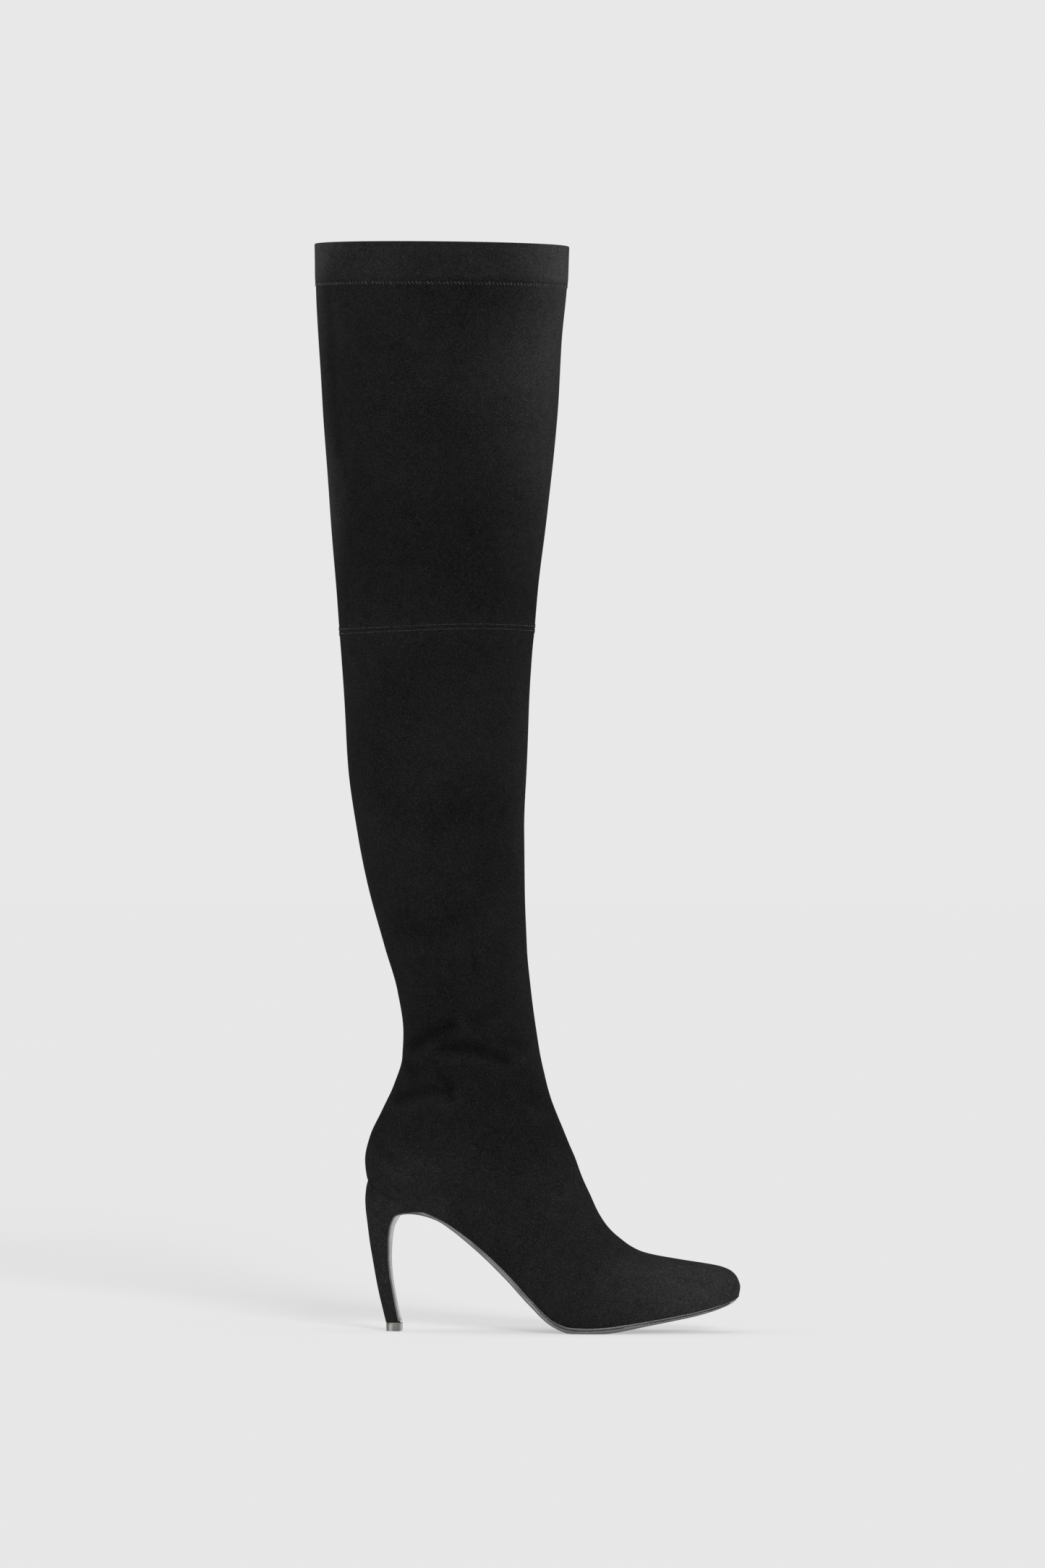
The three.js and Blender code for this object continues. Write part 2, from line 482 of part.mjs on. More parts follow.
/**
 * A plate bent along a line in the XZ plane. Each station has the line's point (x, z), its
 * direction towards the toe (tx, tz), the direction through the plate (nx, nz), a thickness and
 * half widths (medial, lateral). `tip` lists points across the toe end as [distance ahead of
 * the last station, y]. Each layer gives a depth through the plate and an outward step, both as
 * functions of the station.
 */
function plateGeometry(plate, tip, layers) {
  const along = runningLength(plate, (a, b) => Math.hypot(b.x - a.x, b.z - a.z));
  const last = plate.length - 1;
  const outline = [
    ...plate.map((station, i) => ({ station, u: along[i], v: -station.lateral })),
    ...tip.map(([ahead, v]) => ({ station: plate[last], u: along[last] + ahead, v })),
    ...plate.map((station, i) => ({ station, u: along[i], v: station.medial })).reverse(),
  ];
  const count = outline.length;
  const points = layers.flatMap(({ depth, step }) =>
    outline.map((point, k) => {
      const { station } = point;
      const ends = k === 0 || k === count - 1;
      const before = outline[ends ? k : k - 1];
      const after = outline[ends ? k : k + 1];
      const sense = Math.sign(point.v) || 1;
      const normal = ends
        ? [0, sense]
        : [after.v - before.v, before.u - after.u].map((d) => d / Math.hypot(after.v - before.v, before.u - after.u));
      const out = step(station);
      const du = point.u - along[plate.indexOf(station)] + normal[0] * out;
      const deep = depth(station);
      const raised = Math.max(station.z + station.tz * du + station.nz * deep, station.floor ?? -Infinity);
      return new THREE.Vector3(
        station.x + station.tx * du + station.nx * deep, point.v + normal[1] * out, raised,
      );
    }),
  );
  const at = (layer, k) => layer * count + k;
  const bottom = layers.length - 1;
  const faces = [];
  for (let layer = 0; layer < bottom; layer++) {
    for (let k = 0; k < count - 1; k++) {
      faces.push(...cell(at(layer, k), at(layer + 1, k), at(layer + 1, k + 1), at(layer, k + 1)));
    }
    faces.push(...cell(at(layer, count - 1), at(layer + 1, count - 1), at(layer + 1, 0), at(layer, 0)));
  }
  for (let i = 0; i < last; i++) {
    const [a, b, c, d] = [i, i + 1, count - 2 - i, count - 1 - i];
    faces.push(...cell(at(0, a), at(0, b), at(0, c), at(0, d)));
    faces.push(...cell(at(bottom, d), at(bottom, c), at(bottom, b), at(bottom, a)));
  }
  for (let k = last + 1; k < count - 1 - last; k++) {
    faces.push([at(0, last), at(0, k), at(0, k + 1)]);
    faces.push([at(bottom, last), at(bottom, k + 1), at(bottom, k)]);
  }
  return closedGeometry(points, faces);
}

/** Unit directions along and through a plate at each of its points, the second pointing down. */
function plateDirections(points) {
  return points.map((_, i) => {
    const before = points[Math.max(i - 1, 0)];
    const after = points[Math.min(i + 1, points.length - 1)];
    const length = Math.hypot(after[0] - before[0], after[1] - before[1]);
    const [tx, tz] = [(after[0] - before[0]) / length, (after[1] - before[1]) / length];
    return { tx, tz, nx: tz, nz: -tx };
  });
}

/** The rows that stand at least `least` apart in x, always with the last of them. */
function spaced(rows, least) {
  const last = rows[rows.length - 1];
  const kept = [];
  for (const row of rows.slice(0, -1)) {
    const clear = kept.length === 0 || row.x - kept[kept.length - 1].x >= least;
    if (clear && last.x - row.x >= least) kept.push(row);
  }
  return [...kept, last];
}

/** Stations of the outsole from the bottom of the heel's breast to the toe tip. */
function soleStations() {
  const outer = breastRows.map((row) => [row.x * footLength, row.z * heelHeight]).reverse();
  const outerWays = plateDirections(outer);
  const breast = [...breastRows].reverse().map((row, i) => {
    const thickness = row.thick * stripThickness + (i === 0 ? stripFlare : 0);
    const { tx, tz, nx, nz } = outerWays[i];
    const flare = i === 0 ? stripFlare : 0;
    const half = row.half * heelSeatWidth;
    return {
      x: outer[i][0] - nx * (thickness - flare), z: outer[i][1] - nz * (thickness - flare),
      tx, tz, nx, nz, thickness, lip: 0, groove: 0, medial: half, lateral: half,
    };
  });
  const waistFrom = footRows.findIndex((row) => row.sole >= waistShare) + legRows.length;
  const bottom = stations.filter((s) => s >= sectionAlong[waistFrom] - 1e-6).map(sectionAt);
  const corners = spaced(bottom.map((row) => ({ ...row, x: row.bx - row.bow })), plateStep);
  const ways = plateDirections(corners.map(({ x }) => [x, featherHeight(x)]));
  const forefoot = corners.map((row, i) => {
    const { x } = row;
    const { tx, tz, nx, nz } = ways[i];
    return {
      x: x + nx * gap, z: featherHeight(x) + nz * gap, tx, tz, nx, nz, thickness: row.sole,
      lip: row.lip, groove: THREE.MathUtils.smoothstep(x / footLength, 0.4, 0.55),
      medial: row.fm, lateral: row.fl, floor: 0,
    };
  });
  return [...breast, ...forefoot];
}

/** Points across the toe end of a plate, taken from a row of the upper. */
function tipPoints(row, cornerX) {
  const every = 4;
  return row.filter((_, j) => j > 0 && j < row.length - 1 && j % every === 0)
    .map((point) => [point.x - cornerX, point.y]);
}

const solePlate = soleStations();
const soleTip = tipPoints(upperGrid[upperGrid.length - 1], upperGrid[upperGrid.length - 1][0].x);

function outsoleGeometry() {
  const layers = soleEdge.map(({ depth, groove, bevel }) => ({
    depth: (station) => depth * station.thickness,
    step: (station) => station.lip - groove * station.groove - bevel * (station.thickness / soleThickness),
  }));
  return plateGeometry(solePlate, soleTip, layers);
}

/** A record of numbers between two others, a share of the way along. */
const between = (a, b, share) =>
  Object.fromEntries(Object.keys(a).map((name) => [name, THREE.MathUtils.lerp(a[name], b[name], share)]));

function insoleGeometry() {
  const line = upperInside.slice(seamRow).map((row) => {
    const [lateral, medial] = [row[0], row[row.length - 1]];
    return { x: (lateral.x + medial.x) / 2, lateral: -lateral.y, medial: medial.y };
  });
  const ahead = line.findIndex(({ x }) => x > insoleStart);
  const [behind, next] = [line[ahead - 1], line[ahead]];
  const back = between(behind, next, (insoleStart - behind.x) / (next.x - behind.x));
  const tipRow = upperInside[upperInside.length - 1];
  const front = line.slice(ahead).filter(({ x }) => x < tipRow[0].x - insoleEnd);
  const kept = spaced([back, ...front], plateStep);
  const ways = plateDirections(kept.map(({ x }) => [x, featherHeight(x)]));
  const plate = kept.map(({ x, lateral, medial }, i) => ({
    x, z: featherHeight(x), tx: ways[i].tx, tz: ways[i].tz, nx: -ways[i].nx, nz: -ways[i].nz,
    lateral, medial,
  }));
  const tip = tipPoints(tipRow, tipRow[0].x);
  return plateGeometry(plate, tip, [
    { depth: () => 0, step: () => -insoleInset },
    { depth: () => insoleThickness, step: () => -insoleInset },
  ]);
}

/** Half width of the seat at a distance ahead of its back, as a share of its greatest. */
const seatOutline = (() => {
  const cells = 60;
  const points = Array.from({ length: cells + 1 }, (_, i) => {
    const section = sectionAt(notchAlong + ((lastAlong - notchAlong) * i) / cells);
    return [section.bx, (section.fm + section.fl) / 2];
  }).filter(([x], i, all) => i === 0 || x > all[i - 1][0]);
  const back = points[0][0];
  const half = monotone(points.map(([x]) => x - back), points.map(([, y]) => y));
  return (ahead) => Math.min(1, (2 * Math.max(half(ahead), 0)) / heelSeatWidth);
})();

/** Outline of a heel section: [share of the way to the front, share of the half width]. */
function heelOutline(slim, depth) {
  const roundedShare = 0.62;
  const roundness = 2.2;
  const cornerShare = 0.86;
  const cornerDrop = 0.1;
  return Array.from({ length: heelSideCells + 1 }, (_, k) => {
    const share = 1 - Math.cos((Math.PI / 2) * (k / heelSideCells));
    const seat = seatOutline(share * depth);
    const back = Math.max(0, 1 - share / roundedShare);
    const corner = Math.max(0, (share - cornerShare) / (1 - cornerShare));
    const stem = (1 - back ** roundness) ** (1 / roundness) - cornerDrop * corner ** 2;
    return [share, THREE.MathUtils.lerp(seat, stem, slim)];
  });
}

const heelSections = heelRows.map(({ back, front, half, slim }) => ({
  bx: back[0] * footLength, bz: back[1] * heelHeight,
  fx: front[0] * footLength, fz: front[1] * heelHeight,
  half: half * heelSeatWidth, slim,
}));

/** One ring of the heel, from the lateral front corner round the back to the medial one. */
function heelRing({ bx, bz, fx, fz, half, slim }) {
  const outline = heelOutline(slim, fx - bx);
  const place = (sign) => ([share, across]) =>
    new THREE.Vector3(bx + (fx - bx) * share, sign * across * half, bz + (fz - bz) * share);
  return [...outline.map(place(-1)).reverse(), ...outline.slice(1).map(place(1))];
}

/** A closed body through a stack of rings with as many points each. */
function loftGeometry(rings) {
  const count = rings[0].length;
  const points = rings.flat();
  const centres = [rings[0], rings[rings.length - 1]].map((one) =>
    one.reduce((sum, point) => sum.add(point), new THREE.Vector3()).divideScalar(count),
  );
  const [top, bottom] = [points.length, points.length + 1];
  const faces = [];
  for (let i = 0; i < rings.length - 1; i++) {
    for (let k = 0; k < count; k++) {
      const next = (k + 1) % count;
      faces.push(...cell(i * count + k, (i + 1) * count + k, (i + 1) * count + next, i * count + next));
    }
  }
  const base = (rings.length - 1) * count;
  for (let k = 0; k < count; k++) {
    const next = (k + 1) % count;
    faces.push([top, k, next], [bottom, base + next, base + k]);
  }
  return closedGeometry([...points, ...centres], faces);
}

/** A three.js geometry as a manifold solid. */
function solid(geometry) {
  const bare = geometry.clone();
  bare.deleteAttribute('normal');
  bare.deleteAttribute('uv');
  const merged = mergeVertices(bare, 1e-4);
  return new wasm.Manifold(new wasm.Mesh({
    numProp: 3,
    vertProperties: new Float32Array(merged.attributes.position.array),
    triVerts: new Uint32Array(merged.index.array),
  }));
}

/** A manifold solid as a three.js geometry. */
function geometryOf(manifold) {
  const mesh = manifold.getMesh();
  const geometry = new THREE.BufferGeometry();
  geometry.setAttribute('position', new THREE.Float32BufferAttribute(mesh.vertProperties, 3));
  geometry.setIndex(Array.from(mesh.triVerts));
  return geometry;
}

/** An outline in the XZ plane drawn out across the boot, as a solid. */
function acrossBoot(outline) {
  const reach = footWidth;
  const shape = new THREE.Shape(outline.map(([x, z]) => new THREE.Vector2(x, z)));
  const geometry = new THREE.ExtrudeGeometry(shape, { depth: 2 * reach, bevelEnabled: false });
  geometry.rotateX(Math.PI / 2).translate(0, reach, 0);
  return solid(geometry);
}

/** Everything over the heel seat and in front of the heel. */
function seatSpace() {
  const above = 3 * heelHeight;
  const behind = -0.1 * footLength;
  const cells = 12;
  const seat = Array.from({ length: cells + 1 }, (_, i) => {
    const x = (heelFront * i) / cells;
    return [x, featherHeight(x) - gap];
  });
  const first = seat[0];
  return acrossBoot([
    [behind, first[1] - behind * 0.9], ...seat, [heelFront, 0], [footLength, 0],
    [footLength, above], [behind, above],
  ]);
}

/** Everything ahead of the heel's breast: the outsole leather lies on all of its front. */
function breastSpace() {
  const reach = 10;
  const inner = solePlate.slice(0, breastRows.length + 3)
    .map(({ x, z, nx, nz }) => [x - nx * gap, z - nz * gap]);
  const [x, z] = inner[0];
  const { tx, tz } = solePlate[0];
  const below = [x - tx * reach, z - tz * reach];
  return acrossBoot([below, ...inner, [footLength, 0], [footLength, -reach], [below[0], -reach]]);
}

function heelGeometry() {
  const heelStep = 9;
  const along = runningLength(heelSections, (a, b) => Math.hypot(b.bx - a.bx, b.bz - a.bz));
  const at = smoothRows(heelSections, along);
  const levels = [];
  for (let i = 1; i < along.length; i++) {
    const cells = Math.max(1, Math.round((along[i] - along[i - 1]) / heelStep));
    for (let k = i === 1 ? 0 : 1; k <= cells; k++) {
      levels.push(at(along[i - 1] + ((along[i] - along[i - 1]) * k) / cells));
    }
  }
  const body = solid(loftGeometry(levels.map(heelRing)));
  return geometryOf(body.subtract(seatSpace()).subtract(breastSpace()));
}

/** The metal tip: the stem's own outline carried down to the floor. */
function tipGeometry() {
  const last = heelSections[heelSections.length - 1];
  const stem = heelRing({ ...last, fx: last.fx + tipReach, fz: last.bz });
  const middle = new THREE.Box3().setFromPoints(stem).getCenter(new THREE.Vector3());
  const level = (z, inset) => stem.map((point) => {
    const out = point.clone().sub(middle).setZ(0);
    const scaled = out.multiplyScalar(1 - inset / out.length());
    return new THREE.Vector3(middle.x + scaled.x, middle.y + scaled.y, z);
  });
  const edge = 0.35;
  return loftGeometry([
    level(tipHeight - gap, edge), level(tipHeight - gap - edge, 0.1),
    level(edge, tipTaper), level(0, tipTaper + edge),
  ]);
}

/** A piece of the boot. */
function piece(name, geometry, colour, roughness, metalness = 0) {
  geometry.computeVertexNormals();
  const material = new THREE.MeshStandardMaterial({ color: colour, roughness, metalness });
  const mesh = new THREE.Mesh(geometry, material);
  mesh.name = name;
  return mesh;
}

const boot = new THREE.Group();
boot.add(
  piece('upper', upperGeometry(), '#1f1e1f', 0.95),
  piece('outsole', outsoleGeometry(), '#141414', 0.3),
  piece('insole', insoleGeometry(), '#1a1918', 0.7),
  piece('heel', heelGeometry(), '#1f1e1f', 0.95),
  piece('heel_tip', tipGeometry(), '#8c8c86', 0.28, 1),
);

const box = new THREE.Box3().setFromObject(boot);
const middle = box.getCenter(new THREE.Vector3());
boot.position.set(-middle.x, -middle.y, -box.min.z);

export default boot;
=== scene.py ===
"""Thigh-high stretch suede boot with a curved stiletto heel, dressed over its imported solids.

The boot is laid out in millimetres as its maker would draw it: x runs from the back of the
heel to the toe, y towards the inner side, z up from the floor. Each class builds one
sub-assembly from that drawing and hands over finished meshes in metres.
"""

import logging
import math
from collections.abc import Callable, Sequence
from dataclasses import dataclass, field
from enum import Enum
from typing import NamedTuple

import bmesh
import bpy
import numpy as np
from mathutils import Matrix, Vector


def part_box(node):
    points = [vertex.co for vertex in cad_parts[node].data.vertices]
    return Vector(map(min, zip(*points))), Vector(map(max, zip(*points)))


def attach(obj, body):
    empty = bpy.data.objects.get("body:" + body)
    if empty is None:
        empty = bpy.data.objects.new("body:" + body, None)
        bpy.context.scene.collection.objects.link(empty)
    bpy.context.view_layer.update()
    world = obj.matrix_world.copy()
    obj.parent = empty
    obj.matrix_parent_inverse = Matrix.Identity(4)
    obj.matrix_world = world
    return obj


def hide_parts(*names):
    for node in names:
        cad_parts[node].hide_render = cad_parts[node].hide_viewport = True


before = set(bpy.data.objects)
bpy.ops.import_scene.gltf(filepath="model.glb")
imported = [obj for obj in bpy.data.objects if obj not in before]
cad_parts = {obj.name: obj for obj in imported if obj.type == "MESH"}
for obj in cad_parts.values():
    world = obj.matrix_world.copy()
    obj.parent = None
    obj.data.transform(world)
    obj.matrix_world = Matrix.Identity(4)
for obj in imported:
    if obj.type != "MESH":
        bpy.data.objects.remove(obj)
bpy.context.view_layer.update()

MM = 0.001
# Point attribute that carries painted light, shade and reflections, with some of the suede's own tone, into a finish's
# colour.
PAINTED_LIGHT_AND_TONE = "nap"
log = logging.getLogger("boot")

Curve = Callable[[np.ndarray], np.ndarray]


# Sizes of the boot, in millimetres


class Girth(NamedTuple):
    """Depth from back to front and width from side to side of the leg at one place."""

    depth: float
    width: float


COLLAR = Girth(157.8, 132.0)
CALF = Girth(113.8, 106.0)
ANKLE = Girth(83.5, 68.0)


class LegRow(NamedTuple):
    """One level of the leg.

    up is a share of the shaft over the ankle; deep and wide are shares of the girth that the
    row follows; mid is the middle of the level as a share of the foot's length; tilt is how
    much its front stands over its back, as a share of its depth.
    """

    up: float
    follows: Girth
    deep: float
    wide: float
    mid: float
    tilt: float


LEG_ROWS = (
    LegRow(1.0, COLLAR, 1.0, 1.0, 0.205, -0.012),
    LegRow(0.951, COLLAR, 0.991, 0.992, 0.204, -0.01),
    LegRow(0.878, COLLAR, 0.96, 0.973, 0.2, -0.006),
    LegRow(0.805, COLLAR, 0.936, 0.951, 0.201, 0.0),
    LegRow(0.732, COLLAR, 0.897, 0.92, 0.199, 0.005),
    LegRow(0.659, COLLAR, 0.856, 0.886, 0.196, 0.01),
    LegRow(0.585, COLLAR, 0.813, 0.852, 0.193, 0.015),
    LegRow(0.512, CALF, 1.072, 1.03, 0.192, 0.016),
    LegRow(0.476, CALF, 1.042, 1.012, 0.191, 0.014),
    LegRow(0.402, CALF, 1.0, 1.0, 0.192, 0.008),
    LegRow(0.329, CALF, 0.972, 0.972, 0.195, 0.0),
    LegRow(0.256, CALF, 0.915, 0.92, 0.203, 0.0),
    LegRow(0.183, CALF, 0.855, 0.849, 0.218, 0.0),
    LegRow(0.11, ANKLE, 1.06, 1.16, 0.241, 0.0),
    LegRow(0.055, ANKLE, 1.0, 1.055, 0.264, 0.0),
    LegRow(0.0, ANKLE, 1.0, 1.0, 0.28, 0.0),
)


class FootRow(NamedTuple):
    """One section of the foot, in a plane from the back or feather line to the instep ridge.

    base and ridge are shares of the foot's length, seat lift, toe spring and instep height.
    feather (medial, lateral) is the half width at the base, as shares of the ball's width, and
    wide the greatest half width, as shares of the foot's width; at is where up the plane that
    lies; low and high are the roundness below and above it; side is the ridge's medial shift
    and bow how far the section curls back, as shares of the foot's width and length; sole and
    lip are shares of the outsole's thickness and of its lip.
    """

    base: tuple[float, float, float, float]
    ridge: tuple[float, float, float, float]
    feather: tuple[float, float]
    wide: tuple[float, float]
    at: float
    low: float
    high: float
    side: float
    bow: float = 0.0
    sole: float = 0.0
    lip: float = 0.0


FOOT_ROWS = (
    FootRow((0.1, 1, 0, 1.226), (0.467, 0.85, 0, 1.47), (0, 0), (0.402, 0.402), 0.5, 2.15, 2.1, 0),
    FootRow((0.079, 1, 0, 0.96), (0.479, 0.72, 0, 1.46), (0, 0), (0.397, 0.397), 0.5, 2.25, 2.1, 0.003),
    FootRow((0.045, 1, 0, 0.685), (0.4885, 0.62, 0, 1.462), (0, 0), (0.39, 0.39), 0.48, 2.35, 2.1, 0.006),
    FootRow((0.0135, 1, 0, 0.427), (0.497, 0.55, 0, 1.46), (0, 0), (0.384, 0.384), 0.45, 2.45, 2.1, 0.01),
    FootRow((0.001, 1, 0, 0.2), (0.505, 0.5, 0, 1.453), (0, 0), (0.378, 0.378), 0.42, 2.5, 2.1, 0.014),
    FootRow((0.0077, 1, 0, 0), (0.515, 0.45, 0, 1.43), (0, 0), (0.372, 0.372), 0.4, 2.5, 2.1, 0.018),
    FootRow((0.0136, 0.985, 0, 0), (0.5175, 0.44, 0, 1.422), (0.1, 0.1), (0.372, 0.372), 0.393, 2.5, 2.1, 0.02),
    FootRow((0.03, 0.949, 0, 0), (0.5225, 0.42, 0, 1.406), (0.187, 0.187), (0.371, 0.371), 0.378, 2.5, 2.1,
            0.023),
    FootRow((0.068, 0.894, 0, 0), (0.531, 0.385, 0, 1.377), (0.262, 0.262), (0.369, 0.369), 0.36, 2.5, 2.1,
            0.027),
    FootRow((0.117, 0.834, 0, 0), (0.544, 0.34, 0, 1.322), (0.31, 0.31), (0.364, 0.364), 0.34, 2.5, 2.1, 0.032),
    FootRow((0.18, 0.772, 0, 0), (0.56, 0.28, 0, 1.268), (0.318, 0.318), (0.357, 0.363), 0.32, 2.5, 2.1, 0.038,
            0, 0.26, -0.4),
    FootRow((0.226, 0.713, 0, 0), (0.571, 0.24, 0, 1.207), (0.298, 0.31), (0.352, 0.366), 0.31, 2.5, 2.1, 0.042,
            0, 0.34, -0.5),
    FootRow((0.258, 0.659, 0, 0), (0.58, 0.21, 0, 1.163), (0.275, 0.305), (0.35, 0.37), 0.3, 2.5, 2.1, 0.046,
            0, 0.56, -0.6),
    FootRow((0.32, 0.536, 0, 0), (0.598, 0.14, 0, 1.118), (0.247, 0.305), (0.357, 0.387), 0.3, 2.5, 2.1, 0.05,
            0, 0.76, -0.6),
    FootRow((0.39, 0.372, 0, 0), (0.617, 0.085, 0, 1.038), (0.253, 0.331), (0.381, 0.411), 0.29, 2.5, 2.05,
            0.055, 0, 0.86, -0.4),
    FootRow((0.461, 0.179, 0, 0), (0.6375, 0.04, 0, 0.976), (0.325, 0.39), (0.417, 0.452), 0.27, 2.5, 2.0, 0.06,
            0, 0.81, 0.2),
    FootRow((0.5165, 0.053, 0, 0), (0.657, 0.012, 0, 0.931), (0.403, 0.448), (0.458, 0.488), 0.25, 2.5, 2.0,
            0.06, 0, 0.87, 0.8),
    FootRow((0.54, 0.024, 0, 0), (0.6675, 0.005, 0, 0.906), (0.432, 0.47), (0.472, 0.499), 0.24, 2.5, 2.0, 0.06,
            0, 0.93, 0.9),
    FootRow((0.563, 0.006, 0, 0), (0.678, 0, 0, 0.881), (0.455, 0.487), (0.482, 0.506), 0.24, 2.5, 2.0, 0.06,
            0, 1, 1),
    FootRow((0.612, 0, 0, 0), (0.7035, 0, 0, 0.81), (0.48, 0.5), (0.492, 0.506), 0.24, 2.5, 2.0, 0.058, 0, 1, 1),
    FootRow((0.661, 0, 0.033, 0), (0.7355, 0, 0, 0.751), (0.48, 0.494), (0.482, 0.488), 0.25, 2.5, 2.0, 0.052,
            0, 1, 1),
    FootRow((0.7165, 0, 0.135, 0), (0.772, 0, 0.05, 0.702), (0.455, 0.468), (0.456, 0.458), 0.27, 2.5, 2.05,
            0.044, 0, 0.91, 0.9),
    FootRow((0.776, 0, 0.26, 0), (0.8165, 0, 0.13, 0.65), (0.409, 0.416), (0.413, 0.411), 0.29, 2.5, 2.1, 0.036,
            0, 0.74, 0.8),
    FootRow((0.836, 0, 0.4, 0), (0.8635, 0, 0.27, 0.581), (0.357, 0.351), (0.361, 0.351), 0.32, 2.5, 2.15, 0.029,
            0, 0.68, 0.6),
    FootRow((0.887, 0, 0.535, 0), (0.906, 0, 0.4, 0.52), (0.309, 0.292), (0.313, 0.294), 0.34, 2.5, 2.2, 0.023,
            0.0006, 0.65, 0.5),
    FootRow((0.9295, 0, 0.68, 0), (0.9405, 0, 0.55, 0.453), (0.27, 0.247), (0.271, 0.249), 0.36, 2.5, 2.25, 0.018,
            0.0015, 0.6, 0.2),
    FootRow((0.9615, 0, 0.81, 0), (0.968, 0, 0.7, 0.374), (0.239, 0.212), (0.238, 0.212), 0.38, 2.5, 2.3, 0.015,
            0.0035, 0.5, -0.3),
    FootRow((0.981, 0, 0.91, 0), (0.986, 0, 0.85, 0.278), (0.212, 0.182), (0.207, 0.179), 0.4, 2.5, 2.3, 0.013,
            0.006, 0.38, -0.9),
    FootRow((0.991, 0, 0.99, 0), (0.9962, 0, 0.93, 0.185), (0.186, 0.156), (0.177, 0.15), 0.42, 2.5, 2.3, 0.013,
            0.008, 0.3, -1.4),
    FootRow((0.9953, 0, 1.04, 0), (1.0, 0, 1.0, 0.11), (0.166, 0.136), (0.155, 0.127), 0.45, 2.5, 2.2, 0.013,
            0.0095, 0.24, -1.8),
    FootRow((0.9962, 0, 1.06, 0), (0.9962, 0, 1.06, 0), (0.156, 0.126), (0.1431, 0.1156), 0.5, 2.5, 2.2, 0.013,
            0.0105, 0.2, -2),
)


class BreastRow(NamedTuple):
    """Outer face of the sole leather under the seat and down the heel's breast.

    x is a share of the foot's length, z of the heel's height, half of the seat's width.
    """

    x: float
    z: float
    half: float


BREAST_ROWS = (
    BreastRow(0.202, 0.7355, 0.492),
    BreastRow(0.177, 0.757, 0.5),
    BreastRow(0.152, 0.77, 0.485),
    BreastRow(0.126, 0.776, 0.43),
    BreastRow(0.104, 0.7705, 0.375),
    BreastRow(0.087, 0.755, 0.32),
    BreastRow(0.08, 0.726, 0.272),
    BreastRow(0.0728, 0.68, 0.228),
    BreastRow(0.0685, 0.59, 0.182),
    BreastRow(0.0678, 0.495, 0.15),
    BreastRow(0.0705, 0.39, 0.126),
    BreastRow(0.0775, 0.275, 0.113),
    BreastRow(0.0855, 0.17, 0.108),
    BreastRow(0.0945, 0.067, 0.106),
)


class HeelRow(NamedTuple):
    """One section of the heel, from its back line to its front line.

    back and front are shares of the foot's length and the heel's height; half is a share of
    the seat's width; slim is 0 where the section has the seat's outline and 1 in the stem.
    """

    back: tuple[float, float]
    front: tuple[float, float]
    half: float
    slim: float


HEEL_ROWS = (
    HeelRow((0.0115, 1.045), (0.18, 0.83), 0.505, 0),
    HeelRow((0.0077, 1.0), (0.176, 0.77), 0.497, 0),
    HeelRow((0.0018, 0.935), (0.154, 0.764), 0.49, 0.1),
    HeelRow((0.0, 0.87), (0.128, 0.775), 0.468, 0.35),
    HeelRow((0.0014, 0.81), (0.1045, 0.773), 0.417, 0.6),
    HeelRow((0.0038, 0.762), (0.089, 0.757), 0.36, 0.85),
    HeelRow((0.0064, 0.714), (0.08, 0.726), 0.305, 1),
    HeelRow((0.009, 0.656), (0.0728, 0.68), 0.258, 1),
    HeelRow((0.0135, 0.571), (0.0685, 0.59), 0.209, 1),
    HeelRow((0.0192, 0.487), (0.0678, 0.495), 0.177, 1),
    HeelRow((0.0262, 0.386), (0.0705, 0.39), 0.152, 1),
    HeelRow((0.0346, 0.275), (0.0775, 0.275), 0.138, 1),
    HeelRow((0.0445, 0.17), (0.0855, 0.17), 0.13, 1),
    HeelRow((0.0555, 0.06), (0.095, 0.06), 0.127, 1),
)


# Numbers, curves and meshes


def monotone(at: np.ndarray, rows: np.ndarray) -> Curve:
    """Join rows of numbers with monotone cubics.

    Args:
        at: rising distances, one for each row.
        rows: one row of values for each distance.

    Returns:
        A function from an array of distances to an array of rows.
    """
    step = np.diff(at)[:, None]
    slopes = np.diff(rows, axis=0) / step
    product = slopes[:-1] * slopes[1:]
    total = slopes[:-1] + slopes[1:]
    inner = np.where(product > 0, 2 * product / np.where(total == 0, 1, total), 0)
    tangents = np.vstack([slopes[:1], inner, slopes[-1:]])

    def curve(s: np.ndarray) -> np.ndarray:
        """Rows at the distances s."""
        s = np.atleast_1d(np.asarray(s, float))
        i = np.clip(np.searchsorted(at, s) - 1, 0, len(at) - 2)
        h = step[i]
        t = np.clip((s - at[i])[:, None] / h, 0, 1)
        t2, t3 = t * t, t * t * t
        return (
            (2 * t3 - 3 * t2 + 1) * rows[i]
            + (t3 - 2 * t2 + t) * h * tangents[i]
            + (3 * t2 - 2 * t3) * rows[i + 1]
            + (t3 - t2) * h * tangents[i + 1]
        )

    return curve


def running_length(points: np.ndarray) -> np.ndarray:
    """Distance along a line of points, from its first one."""
    return np.concatenate([[0], np.cumsum(np.linalg.norm(np.diff(points, axis=0), axis=1))])


def smoothstep(value: np.ndarray, low: float, high: float) -> np.ndarray:
    """0 at low, 1 at high and an even turn between them; low may be the larger."""
    t = np.clip((np.asarray(value, float) - low) / (high - low), 0, 1)
    return t * t * (3 - 2 * t)


def bump(distance: np.ndarray, width: float) -> np.ndarray:
    """A soft ridge of height 1 whose sides fade over the width."""
    return np.exp(-((np.asarray(distance, float) / width) ** 2))


def unit(vectors: np.ndarray) -> np.ndarray:
    """The same directions with length 1."""
    return vectors / np.maximum(np.linalg.norm(vectors, axis=-1, keepdims=True), 1e-12)


